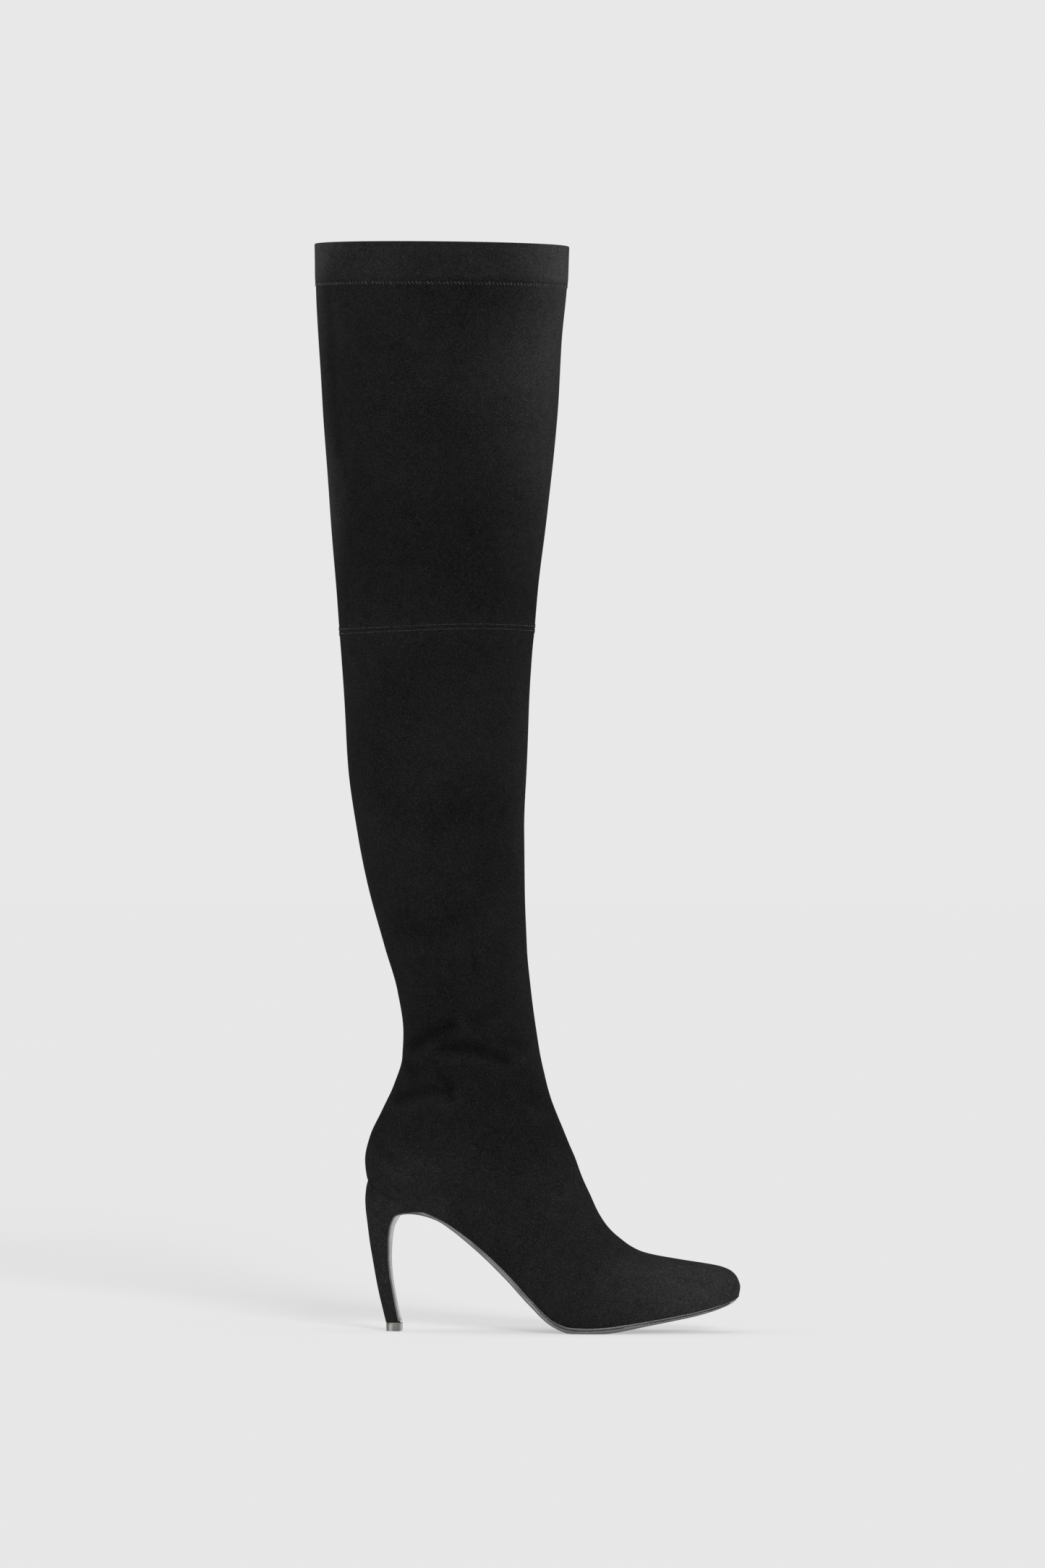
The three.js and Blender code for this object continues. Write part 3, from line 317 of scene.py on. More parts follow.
def quads(index: np.ndarray) -> np.ndarray:
    """Four-cornered faces of a grid of point numbers, without the collapsed ones."""
    faces = np.stack([index[:-1, :-1], index[1:, :-1], index[1:, 1:], index[:-1, 1:]], axis=-1).reshape(-1, 4)
    return faces


@dataclass
class Draft:
    """Points and faces of a piece while it is being drawn, in millimetres.

    Attributes:
        shift: distance in x from the drawing to the frame.
        points: blocks of points.
        faces: lists of corners.
        count: number of points so far.
    """

    shift: float
    points: list[np.ndarray] = field(default_factory=list)
    faces: list[list[int]] = field(default_factory=list)
    count: int = 0

    def add(self, points: np.ndarray) -> np.ndarray:
        """Add points and return their numbers, in the same arrangement."""
        flat = points.reshape(-1, 3)
        numbers = np.arange(self.count, self.count + len(flat)).reshape(points.shape[:-1])
        self.points.append(flat)
        self.count += len(flat)
        return numbers

    def skin(self, index: np.ndarray) -> None:
        """Cover a grid of point numbers with faces, leaving out collapsed corners."""
        for face in quads(index).tolist():
            corners = list(dict.fromkeys(face))
            if len(corners) > 2:
                self.faces.append(corners)

    def band(self, loops: Sequence[np.ndarray]) -> None:
        """Join closed loops of point numbers one to the next."""
        stack = np.stack([np.append(loop, loop[0]) for loop in loops])
        self.skin(stack)

    def fan(self, loop: np.ndarray, centre: np.ndarray) -> None:
        """Close a loop of point numbers with a fan round a new point."""
        hub = int(self.add(centre[None])[0])
        self.faces.extend([[int(a), int(b), hub] for a, b in zip(loop, np.roll(loop, -1))])

    def finish(self, name: str, material: bpy.types.Material, sharp: float = 0.0,
               paint: Callable[[np.ndarray], np.ndarray] | None = None) -> bpy.types.Object:
        """Make the mesh object.

        Args:
            name: name of the piece.
            material: its finish.
            sharp: angle in degrees over which an edge stays sharp, or 0 for none.
            paint: gives a value at places on the boot, kept on each point: painted light, shade and reflection, with
                some tone, that the finish lays into its colour.

        Returns:
            The new object, linked to the scene, with its faces pointing out.
        """
        points = np.concatenate(self.points) * MM
        points[:, 0] += self.shift * MM
        mesh = bpy.data.meshes.new(name)
        mesh.from_pydata(points.tolist(), [], self.faces)
        shape = bmesh.new()
        shape.from_mesh(mesh)
        bmesh.ops.remove_doubles(shape, verts=shape.verts, dist=1e-7)
        bmesh.ops.recalc_face_normals(shape, faces=shape.faces)
        shape.to_mesh(mesh)
        shape.free()
        mesh.polygons.foreach_set("use_smooth", np.ones(len(mesh.polygons), bool))
        if sharp:
            mesh.set_sharp_from_angle(angle=math.radians(sharp))
        mesh.materials.append(material)
        mesh.update()
        if paint is not None:
            places = np.empty(len(mesh.vertices) * 3, np.float32)
            mesh.vertices.foreach_get("co", places)
            places = places.reshape(-1, 3) / MM - [self.shift, 0, 0]
            # The painted light, shade and reflection values, kept on the points.
            nap = mesh.attributes.new(PAINTED_LIGHT_AND_TONE, "FLOAT", "POINT")
            nap.data.foreach_set("value", paint(places).astype(np.float32))
        piece = bpy.data.objects.new(name, mesh)
        bpy.context.scene.collection.objects.link(piece)
        return piece


# The drawing of the boot


class Side(Enum):
    """Which side of the boot a fold lies on."""

    LATERAL = -1
    MEDIAL = 1


@dataclass(frozen=True)
class Fold:
    """A soft trough in the suede with a low swelling beside it.

    Attributes:
        side: the side of the boot that it is on.
        path: points that it runs through, as (x, z).
        depth: how deep it is at its middle.
        width: distance over which its sides fade.
        swell: height of the roll on its lower side, as a share of the depth.
    """

    side: Side
    path: tuple[tuple[float, float], ...]
    depth: float
    width: float
    swell: float = 0.45

    def lift(self, points: np.ndarray) -> np.ndarray:
        """How far the fold moves points of the boot in or out.

        Args:
            points: places on the boot, with x, y and z last.

        Returns:
            A distance along the normal for each of them.
        """
        shape = points.shape[:-1]
        place = points.reshape(-1, 3)
        path = np.array(self.path, float)
        best = np.full(len(place), 1e9)
        under = np.zeros(len(place))
        for (ax, az), (bx, bz) in zip(path[:-1], path[1:]):
            along = np.array([bx - ax, bz - az])
            length = np.linalg.norm(along)
            offset = place[:, [0, 2]] - [ax, az]
            share = np.clip(offset @ along / length**2, 0, 1)
            apart = offset - share[:, None] * along
            distance = np.linalg.norm(apart, axis=1)
            nearer = distance < best
            best = np.where(nearer, distance, best)
            under = np.where(nearer, -apart[:, 1], under)
        trough = -self.depth * bump(best, self.width)
        roll = self.depth * self.swell * bump(np.hypot(best - 1.9 * self.width, 0), self.width)
        on_side = smoothstep(place[:, 1] * self.side.value, 2.0, 16.0)
        return ((trough + roll * smoothstep(under, -self.width, self.width)) * on_side).reshape(shape)


FOLDS = (
    Fold(Side.LATERAL, ((32, 178), (42, 184.5), (57, 190.5)), 1.25, 4.0),
    Fold(Side.LATERAL, ((53, 177.5), (66, 178), (79, 174.5), (91, 169.5)), 1.15, 3.9),
    Fold(Side.LATERAL, ((24, 145), (34, 149), (46, 152), (57, 148)), 1.2, 3.9),
    Fold(Side.LATERAL, ((50, 161), (57, 153)), 0.8, 3.0),
    Fold(Side.LATERAL, ((30, 166), (35, 160)), 0.7, 4.2),
    Fold(Side.LATERAL, ((73, 194), (84, 200)), 0.45, 4.0),
    Fold(Side.LATERAL, ((92, 181), (100, 178)), 0.5, 4.0),
    Fold(Side.LATERAL, ((104, 148), (116, 142)), 0.45, 4.5),
    Fold(Side.LATERAL, ((7, 120), (14, 113), (25, 105)), 0.4, 3.6),
    Fold(Side.LATERAL, ((-19.5, 648), (-17.5, 615), (-15, 575), (-12, 545)), 0.55, 3.4),
    Fold(Side.LATERAL, ((20, 330), (45, 318), (66, 322)), 0.35, 9.0),
    Fold(Side.LATERAL, ((70, 262), (48, 250), (30, 254)), 0.4, 8.0),
    Fold(Side.MEDIAL, ((30, 172), (44, 181), (62, 184)), 1.2, 3.4),
    Fold(Side.MEDIAL, ((50, 170), (68, 171), (86, 163)), 1.2, 3.4),
    Fold(Side.MEDIAL, ((22, 150), (36, 153), (52, 147)), 1.1, 3.4),
    Fold(Side.MEDIAL, ((66, 196), (80, 199)), 0.5, 4.0),
    Fold(Side.MEDIAL, ((100, 146), (114, 139)), 0.5, 4.5),
    Fold(Side.MEDIAL, ((-16, 640), (-13, 590)), 0.4, 3.8),
    Fold(Side.MEDIAL, ((24, 318), (48, 306), (66, 312)), 0.35, 9.0),
)


# Gains on the leg's suede colour: height, gain in the middle, gain added at the front and the share of
# the leg's depth where it starts, gain added at the back and where that starts. The front and back
# gains are painted sheen along the leg's edges.
LEG_TONE_AND_PAINTED_SHEEN = (
    (677, 1.02, 1.9, 0.70, 1.9, 0.25),
    (657, 1.00, 1.9, 0.80, 1.7, 0.10),
    (635, 1.05, 1.8, 0.75, 1.0, 0.10),
    (576, 1.00, 1.3, 0.45, 0.5, 0.08),
    (513, 0.78, 1.2, 0.62, 1.9, 0.20),
    (455, 0.92, 0.0, 0.80, 0.2, 0.05),
    (405, 0.95, 0.2, 0.85, 0.0, 0.05),
    (352, 0.93, 0.3, 0.80, 0.0, 0.05),
    (288, 0.92, 0.4, 0.80, 0.5, 0.05),
    (220, 0.92, 0.2, 0.80, 0.2, 0.05),
    (176, 0.84, 0.2, 0.80, 0.2, 0.05),
    (144, 0.86, 0.0, 0.80, 0.0, 0.05),
    (100, 0.97, 0.0, 0.80, 0.0, 0.05),
)


@dataclass
class BootForm:
    """The boot's surface as a function of the distance down it and the way round it.

    Attributes:
        foot_length, heel_height, instep_height, toe_spring, ball_width, foot_width: the foot.
        shaft_height, ankle_rise: the leg.
        tread_height: feather line over the floor at the ball.
        sole_thickness, sole_lip: the outsole at the ball.
        cuff_height, cuff_step: the turned cuff and how far it stands proud.
        knee_drop: collar to the middle of the knee seam.
        knee_arch: how much higher the seam runs at the middle of the leg than at its back.
        side_cells: cells from the feather line to the ridge, on each side.
    """

    foot_length: float = 234.5
    heel_height: float = 94.5
    instep_height: float = 62.0
    toe_spring: float = 18.0
    ball_width: float = 77.0
    foot_width: float = 84.0
    shaft_height: float = 492.0
    ankle_rise: float = 90.5
    tread_height: float = 3.5
    sole_thickness: float = 3.9
    sole_lip: float = 0.8
    cuff_height: float = 25.5
    cuff_step: float = 0.5
    knee_drop: float = 240.3
    knee_arch: float = 2.1
    side_cells: int = 60

    def __post_init__(self) -> None:
        """Work out the sections, the grid of points and its normals."""
        sections = np.array([self.leg_section(row) for row in LEG_ROWS] + [self.foot_section(row) for row in FOOT_ROWS])
        base, ridge = sections[:, 0:2], sections[:, 2:4]
        self.row_along = (running_length(base) + running_length(ridge)) / 2
        self.section_at = monotone(self.row_along, sections)
        open_rows = [i for i, row in enumerate(FOOT_ROWS) if row.feather[0] > 0]
        self.notch = float(self.row_along[len(LEG_ROWS) + open_rows[0] - 1])
        self.end = float(self.row_along[-1])
        line = self.section_at(np.linspace(self.notch, self.end, 321))
        rising = np.concatenate([[True], np.diff(line[:, 0]) > 1e-9])
        self.feather_line = line[rising][:, :2]
        self.seat_half = (line[rising][:, 4] + line[rising][:, 5]) / 2
        self.along = self.stations()
        self.seam_row = int(np.searchsorted(self.along, self.notch - 1e-6))
        self.grid = self.arched(self.rings(self.section_at(self.along)))
        self.normals = self.grid_normals(self.grid)
        box_low, box_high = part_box("upper")
        proud = self.grid[0] + self.normals[0] * self.cuff_step
        back, toe = proud[:, 0].min(), self.grid[..., 0].max()
        self.shift = (box_low[0] + box_high[0]) / 2 / MM - (back + toe) / 2

    def leg_section(self, row: LegRow) -> list[float]:
        """A leg row in millimetres, as the columns of a section."""
        depth = row.deep * row.follows.depth
        z = self.heel_height + self.ankle_rise + row.up * self.shaft_height
        half = row.wide * row.follows.width / 2
        middle = row.mid * self.foot_length
        return [middle - depth / 2, z, middle + depth / 2, z + row.tilt * depth,
                0, 0, half, half, 0.5, 2.1, 2.1, 0, 0, 0, 0]

    def foot_section(self, row: FootRow) -> list[float]:
        """A foot row in millimetres, as the columns of a section."""
        seat_lift = self.heel_height - self.tread_height

        def place(shares: tuple[float, float, float, float]) -> tuple[float, float]:
            """Point in the plane of symmetry."""
            length, lift, spring, over = shares
            height = lift * seat_lift + spring * self.toe_spring + over * self.instep_height
            return length * self.foot_length, self.tread_height + height

        medial, lateral = (share * self.ball_width for share in row.feather)
        return [
            *place(row.base), *place(row.ridge), medial, lateral,
            max(medial, row.wide[0] * self.foot_width), max(lateral, row.wide[1] * self.foot_width),
            row.at, row.low, row.high, row.side * self.foot_width, row.bow * self.foot_length,
            row.sole * self.sole_thickness, row.lip * self.sole_lip,
        ]

    def stations(self) -> np.ndarray:
        """Distances down the boot at which the surface gets a ring, closer where it has detail."""
        ankle = float(self.row_along[len(LEG_ROWS) - 1])
        stretches = (
            (0.0, self.cuff_height - 1.5, 3.6),
            (self.cuff_height - 1.5, self.cuff_height + 1.5, 0.3),
            (self.cuff_height + 1.5, self.knee_drop - 6, 4.0),
            (self.knee_drop - 6, self.knee_drop + 6, 0.4),
            (self.knee_drop + 6, ankle - 35, 4.2),
            (ankle - 35, self.notch, 2.0),
            (self.notch, self.end - 26, 2.4),
            (self.end - 26, self.end, 1.1),
        )
        pieces = [np.linspace(a, b, max(2, round((b - a) / step) + 1))[:-1] for a, b, step in stretches]
        return np.concatenate([*pieces, [self.end]])

    def half_sections(self, sections: np.ndarray, half: np.ndarray, feather: np.ndarray) -> np.ndarray:
        """Halves of sections from base to ridge, with points at equal distances.

        Args:
            sections: rows of sections.
            half: greatest half width of each on this side.
            feather: half width of each at its base.

        Returns:
            For each section and each point, how far across and what share of the way up.
        """
        fine = 96
        result = np.empty((len(sections), self.side_cells + 1, 2))
        for k, (section, reach, foot) in enumerate(zip(sections, half, feather)):
            at, low, high = section[8:11]
            start = math.acos(min(1.0, min(foot / reach, 1.0) ** (low / 2)))
            falling = start * (1 - np.arange(fine) / fine)
            rise = at * (1 - np.sin(falling) ** (2 / low))
            foot_rise = at * (1 - math.sin(start) ** (2 / low))
            share = (rise - foot_rise) / (at - foot_rise) if start > 1e-3 else np.arange(fine) / fine
            lower = np.stack([reach * np.cos(falling) ** (2 / low), at * share], axis=1)
            turning = math.pi / 2 * np.arange(fine + 1) / fine
            across = reach * np.maximum(np.cos(turning), 0) ** (2 / high)
            across[-1] = 0
            upper = np.stack([across, at + (1 - at) * np.sin(turning) ** (2 / high)], axis=1)
            points = np.vstack([lower, upper])
            height = math.hypot(section[2] - section[0], section[3] - section[1])
            distance = running_length(points * [1, height])
            target = np.linspace(0, distance[-1], self.side_cells + 1)
            result[k] = np.stack([np.interp(target, distance, points[:, c]) for c in (0, 1)], axis=1)
        return result

    def rings(self, sections: np.ndarray) -> np.ndarray:
        """Rings of points, each from the lateral feather over the ridge to the medial one."""
        bx, bz, tx, tz, medial, lateral, wide_medial, wide_lateral = sections[:, :8].T[:, :, None]
        side, bow = sections[:, 11:13].T[:, :, None]

        def place(half: np.ndarray, feather: np.ndarray, sign: float) -> np.ndarray:
            """Points of one half of every ring."""
            line = self.half_sections(sections, half[:, 0], feather[:, 0])
            across, up = line[..., 0], line[..., 1]
            x = bx + (tx - bx) * up - bow * (across / half) ** 2
            return np.stack([x, sign * across + side * up, bz + (tz - bz) * up], axis=-1)

        outer = place(wide_lateral, lateral, -1)
        inner = place(wide_medial, medial, 1)
        return np.concatenate([outer, inner[:, ::-1][:, 1:]], axis=1)

    def arched(self, grid: np.ndarray) -> np.ndarray:
        """The grid with its rings round the knee following the arch of the seam."""
        ring = grid[int(np.searchsorted(self.along, self.knee_drop))]
        depth = (ring[:, 0] - ring[:, 0].min()) / np.ptp(ring[:, 0])
        rise = self.knee_arch * (np.sin(np.pi * (0.1 + 0.8 * np.clip(depth, 0, 1) ** 1.8)) - 0.35)
        near = bump(np.maximum(np.abs(self.along - self.knee_drop) - 8, 0), 22)
        moved = grid.copy()
        for j in range(grid.shape[1]):
            wanted = self.along - rise[j] * near
            for c in range(3):
                moved[:, j, c] = np.interp(wanted, self.along, grid[:, j, c])
        moved[0] = grid[0]
        return moved

    def grid_normals(self, grid: np.ndarray) -> np.ndarray:
        """Outward unit normals of a grid whose rings close down to the notch."""
        before = np.concatenate([grid[:, :1], grid[:, :-1]], axis=1)
        after = np.concatenate([grid[:, 1:], grid[:, -1:]], axis=1)
        closed = slice(0, self.seam_row + 1)
        for j in (0, -1):
            before[closed, j] = grid[closed, -2]
            after[closed, j] = grid[closed, 1]
        over = np.concatenate([grid[:1], grid[:-1]])
        under = np.concatenate([grid[1:], grid[-1:]])
        return -unit(np.cross(after - before, under - over))

    def feather_height(self, x: np.ndarray) -> np.ndarray:
        """Height of the feather line over the floor at x."""
        line = self.feather_line
        slope = (line[1, 1] - line[0, 1]) / (line[1, 0] - line[0, 0])
        inside = np.interp(x, line[:, 0], line[:, 1])
        return np.where(x < line[0, 0], line[0, 1] + slope * (x - line[0, 0]), inside)

    def relief(self, along: np.ndarray) -> np.ndarray:
        """How far the wall stands proud at distances down the boot: the cuff and the knee seam."""
        cuff = self.cuff_step * (1 - smoothstep(along, self.cuff_height - 0.25, self.cuff_height + 0.45))
        cuff = cuff - 0.22 * bump(along - self.cuff_height + 0.9, 0.9)
        apart = np.abs(along - self.knee_drop)
        seam = 0.34 * (1 - smoothstep(apart, 2.1, 3.1))
        seam = seam - 0.34 * bump(apart, 0.42) - 0.2 * bump(apart - 1.45, 0.4)
        return cuff + seam

    def wander(self, points: np.ndarray) -> np.ndarray:
        """Slow swells of the stretched suede over the leg, fading out towards the foot and cuff."""
        x, y, z = (points[..., c] for c in range(3))
        slow = np.sin(z / 31 + 1.3 * np.sin(x / 37) + y / 45) * np.sin(x / 29 + z / 83 + 0.7)
        quick = np.sin(z / 13.5 + x / 17 + 2.1) * np.sin(y / 16 - z / 41)
        fade = smoothstep(z, 120, 210) * (1 - smoothstep(z, 640, 672))
        return (0.42 * slow + 0.16 * quick) * fade

    def offset(self, along: np.ndarray, points: np.ndarray) -> np.ndarray:
        """Whole distance between the bare form and the suede's outer face."""
        lift = self.relief(along) + self.wander(points)
        for fold in FOLDS:
            lift = lift + fold.lift(points)
        return lift

    def skin(self, depth: float) -> np.ndarray:
        """The grid at a depth under the suede's face, with its lower edge on the feather line."""
        lift = self.offset(self.along[:, None], self.grid) - depth
        moved = self.grid + self.normals * lift[..., None]
        low = slice(self.seam_row + 1, None)
        for j in (0, -1):
            moved[low, j, 2] = self.feather_height(moved[low, j, 0])
        moved[-1, :, 2] = self.feather_height(moved[-1, :, 0])
        return moved

    def on_leg(self, along: np.ndarray, turn: np.ndarray) -> tuple[np.ndarray, np.ndarray]:
        """Places on the leg for sewing.

        Args:
            along: distances down the boot.
            turn: ways round it, from 0 at the back over the lateral side to 1 at the back again.

        Returns:
            Points on the suede's face and the normals there.
        """
        column = np.mod(turn, 1.0) * (self.grid.shape[1] - 1)
        j = np.minimum(column.astype(int), self.grid.shape[1] - 2)
        i = np.clip(np.searchsorted(self.along, along) - 1, 0, len(self.along) - 2)
        v = ((along - self.along[i]) / (self.along[i + 1] - self.along[i]))[:, None]
        u = (column - j)[:, None]

        def mix(values: np.ndarray) -> np.ndarray:
            """Values between the four corners of a cell."""
            top = values[i, j] * (1 - u) + values[i, j + 1] * u
            return top * (1 - v) + (values[i + 1, j] * (1 - u) + values[i + 1, j + 1] * u) * v

        points, normals = mix(self.grid), unit(mix(self.normals))
        return points + normals * self.offset(along, points)[:, None], normals

    def nap(self, places: np.ndarray) -> np.ndarray:
        """Gain on the suede's colour at places on the boot: painted sheen, light and shade, with some tone of its own.
        """
        x, y, z = places.T
        leg = self.grid[: self.seam_row + 1]
        level = leg[..., 2].mean(axis=1)[::-1]
        back = np.interp(z, level, leg[..., 0].min(axis=1)[::-1])
        front = np.interp(z, level, leg[..., 0].max(axis=1)[::-1])
        share = np.clip((x - back) / (front - back), 0, 1)
        rows = np.array(LEG_TONE_AND_PAINTED_SHEEN[::-1])
        middle, fore, fore_start, aft, aft_start = (np.interp(z, rows[:, 0], rows[:, c]) for c in range(1, 6))
        # Painted sheen along the leg's front and back edges.
        fore = fore * np.clip((share - fore_start) / (1 - fore_start), 0, 1) ** 2
        value = middle + fore + aft * np.clip(1 - share / aft_start, 0, 1) ** 2
        cuff_edge = self.heel_height + self.ankle_rise + self.shaft_height - self.cuff_height
        value *= 1 + 0.42 * smoothstep(z, cuff_edge - 1, cuff_edge + 3)
        # Painted light on the toe.
        value *= 1 + 1.0 * smoothstep(x, 130, 215) * smoothstep(z, 60, 35)
        value *= 1 + 0.22 * smoothstep(z, 125, 95)
        value *= 1 + 0.28 * smoothstep(z, 88, 74) * smoothstep(x, 62, 52)
        value *= 1 + 0.10 * np.sin(x / 23 + 1.1 * np.sin(z / 40)) * np.sin(z / 33 + y / 27)
        # Painted shade in the fold troughs and painted highlights on their rolls.
        folds = sum(fold.lift(places) / fold.depth * min(1.0, fold.depth) for fold in FOLDS)
        value *= 1 + 0.34 * np.minimum(folds, 0) + 0.45 * np.maximum(folds, 0)
        knee = self.heel_height + self.ankle_rise + self.shaft_height - self.knee_drop
        return value * (1 + 0.12 * bump(z - knee, 9))

    def girth(self, along: float) -> float:
        """Distance round the leg at a distance down it."""
        row = int(np.searchsorted(self.along, along))
        return float(running_length(self.grid[row])[-1])


# Finishes


class Nodes:
    """Short ways to add and join shader nodes in one material."""

    def __init__(self, name: str) -> None:
        """Start a material with a Principled shader."""
        self.material = bpy.data.materials.new(name)
        self.material.use_nodes = True
        self.tree = self.material.node_tree
        self.shader = next(node for node in self.tree.nodes if node.type == "BSDF_PRINCIPLED")
        self.place = self.add("ShaderNodeTexCoord").outputs["Object"]

    def add(self, kind: str, **settings: object) -> bpy.types.Node:
        """Add a node and set its properties and unlinked inputs.

        Args:
            kind: Blender's name for the node.
            settings: properties by name, and inputs by name with spaces as underscores.

        Returns:
            The new node.
        """
        node = self.tree.nodes.new(kind)
        for key, value in settings.items():
            if hasattr(node, key):
                setattr(node, key, value)
            else:
                node.inputs[key.replace("_", " ")].default_value = value
        return node

    def link(self, source: bpy.types.NodeSocket, target: bpy.types.NodeSocket) -> None:
        """Join an output to an input."""
        self.tree.links.new(source, target)

    def set(self, **values: object) -> None:
        """Set the shader's own sockets, by name with spaces as underscores."""
        for key, value in values.items():
            self.shader.inputs[key.replace("_", " ")].default_value = value

    def noise(self, scale: float, detail: float = 2.0, stretch: tuple[float, float, float] = (1, 1, 1),
              turn: float = 0.0, warp: float = 0.0) -> bpy.types.NodeSocket:
        """A noise over the object's own coordinates.

        Args:
            scale: cells for each metre.
            detail: finer layers in it.
            stretch: scale of each axis.
            turn: turn of those axes about y, in radians.
            warp: how much the noise bends itself.

        Returns:
            The noise's value.
        """
        mapping = self.add("ShaderNodeMapping", vector_type="TEXTURE")
        mapping.inputs["Rotation"].default_value = (0, turn, 0)
        mapping.inputs["Scale"].default_value = [1 / share for share in stretch]
        self.link(self.place, mapping.inputs["Vector"])
        texture = self.add("ShaderNodeTexNoise", Scale=scale, Detail=detail, Roughness=0.55, Distortion=warp)
        self.link(mapping.outputs["Vector"], texture.inputs["Vector"])
        return texture.outputs["Fac"]

    def remap(self, value: bpy.types.NodeSocket, low: float, high: float, to_low: float, to_high: float) -> bpy.types.NodeSocket:
        """A value taken from one range to another and held inside it."""
        node = self.add("ShaderNodeMapRange")
        for index, number in enumerate((low, high, to_low, to_high), start=1):
            node.inputs[index].default_value = number
        self.link(value, node.inputs[0])
        return node.outputs[0]

    def math(self, operation: str, a: bpy.types.NodeSocket, b: bpy.types.NodeSocket | float) -> bpy.types.NodeSocket:
        """Arithmetic on one value and another value or number."""
        node = self.add("ShaderNodeMath", operation=operation)
        self.link(a, node.inputs[0])
        if isinstance(b, bpy.types.NodeSocket):
            self.link(b, node.inputs[1])
        else:
            node.inputs[1].default_value = b
        return node.outputs[0]

    def tint(self, value: bpy.types.NodeSocket, dark: "Colour", light: "Colour") -> bpy.types.NodeSocket:
        """A colour between two, chosen by a value."""
        node = self.add("ShaderNodeMix", data_type="RGBA")
        node.inputs[6].default_value = (*dark, 1)
        node.inputs[7].default_value = (*light, 1)
        self.link(value, node.inputs[0])
        return node.outputs[2]

    def bump(self, height: bpy.types.NodeSocket, distance: float, strength: float = 1.0,
             under: bpy.types.NodeSocket | None = None) -> bpy.types.NodeSocket:
        """A bump in millimetres, laid over another one if given."""
        node = self.add("ShaderNodeBump", Strength=strength, Distance=distance * MM)
        self.link(height, node.inputs["Height"])
        if under is not None:
            self.link(under, node.inputs["Normal"])
        return node.outputs["Normal"]

    def done(self, normal: bpy.types.NodeSocket) -> bpy.types.Material:
        """Give the shader its normal and hand the material over."""
        self.link(normal, self.shader.inputs["Normal"])
        return self.material


Colour = tuple[float, float, float]


@dataclass(frozen=True)
class Suede:
    """Black suede: a short matt nap with a fine grain, patches and strokes of tone and a few light fibres, its colour
    scaled by the points' painted light and shade.
    """

    name: str
    dark: Colour = (0.0024, 0.0023, 0.0024)
    light: Colour = (0.0196, 0.0191, 0.0189)
    fibre: Colour = (0.045, 0.044, 0.043)
    sheen: float = 0.015
    nap: float = 0.09

    def build(self) -> bpy.types.Material:
        """Make the material."""
        nodes = Nodes(self.name)
        grain = nodes.noise(1500, 3)
        tuft = nodes.noise(2800, 2)
        patch = nodes.noise(26, 3)
        stroke = nodes.noise(150, 2)
        light_and_tone_gain = nodes.add("ShaderNodeAttribute", attribute_name=PAINTED_LIGHT_AND_TONE).outputs["Fac"]
        mixed = nodes.math("ADD", nodes.math("MULTIPLY", grain, 0.66), nodes.math("MULTIPLY", patch, 0.18))
        mixed = nodes.math("ADD", mixed, nodes.math("MULTIPLY", stroke, 0.16))
        shade = nodes.tint(nodes.remap(mixed, 0.30, 0.70, 0, 1), self.dark, self.light)
        fibres = nodes.noise(1700, 1, (0.5, 0.8, 1.5), 0.2, 0.7)
        for turn in (1.3, -0.85):
            fibres = nodes.math("MAXIMUM", fibres, nodes.noise(1700, 1, (0.5, 0.8, 1.5), turn, 0.7))
        specks = nodes.remap(fibres, 0.60, 0.84, 0, 0.9)
        mix = nodes.add("ShaderNodeMix", data_type="RGBA")
        nodes.link(specks, mix.inputs[0])
        nodes.link(shade, mix.inputs[6])
        mix.inputs[7].default_value = (*self.fibre, 1)
        # The colour is scaled by the points' gain: painted sheen, light and shade, with some tone.
        gain = nodes.add("ShaderNodeVectorMath", operation="SCALE")
        nodes.link(mix.outputs[2], gain.inputs[0])
        nodes.link(light_and_tone_gain, gain.inputs["Scale"])
        nodes.link(gain.outputs[0], nodes.shader.inputs["Base Color"])
        nodes.set(Roughness=0.96, Sheen_Weight=self.sheen, Sheen_Roughness=0.5, Sheen_Tint=(0.86, 0.86, 0.88, 1),
                  Specular_IOR_Level=0.0)
        soft = nodes.bump(patch, 0.35, 0.5)
        fine = nodes.bump(grain, self.nap, 1.0, soft)
        return nodes.done(nodes.bump(tuft, 0.06, 0.8, fine))


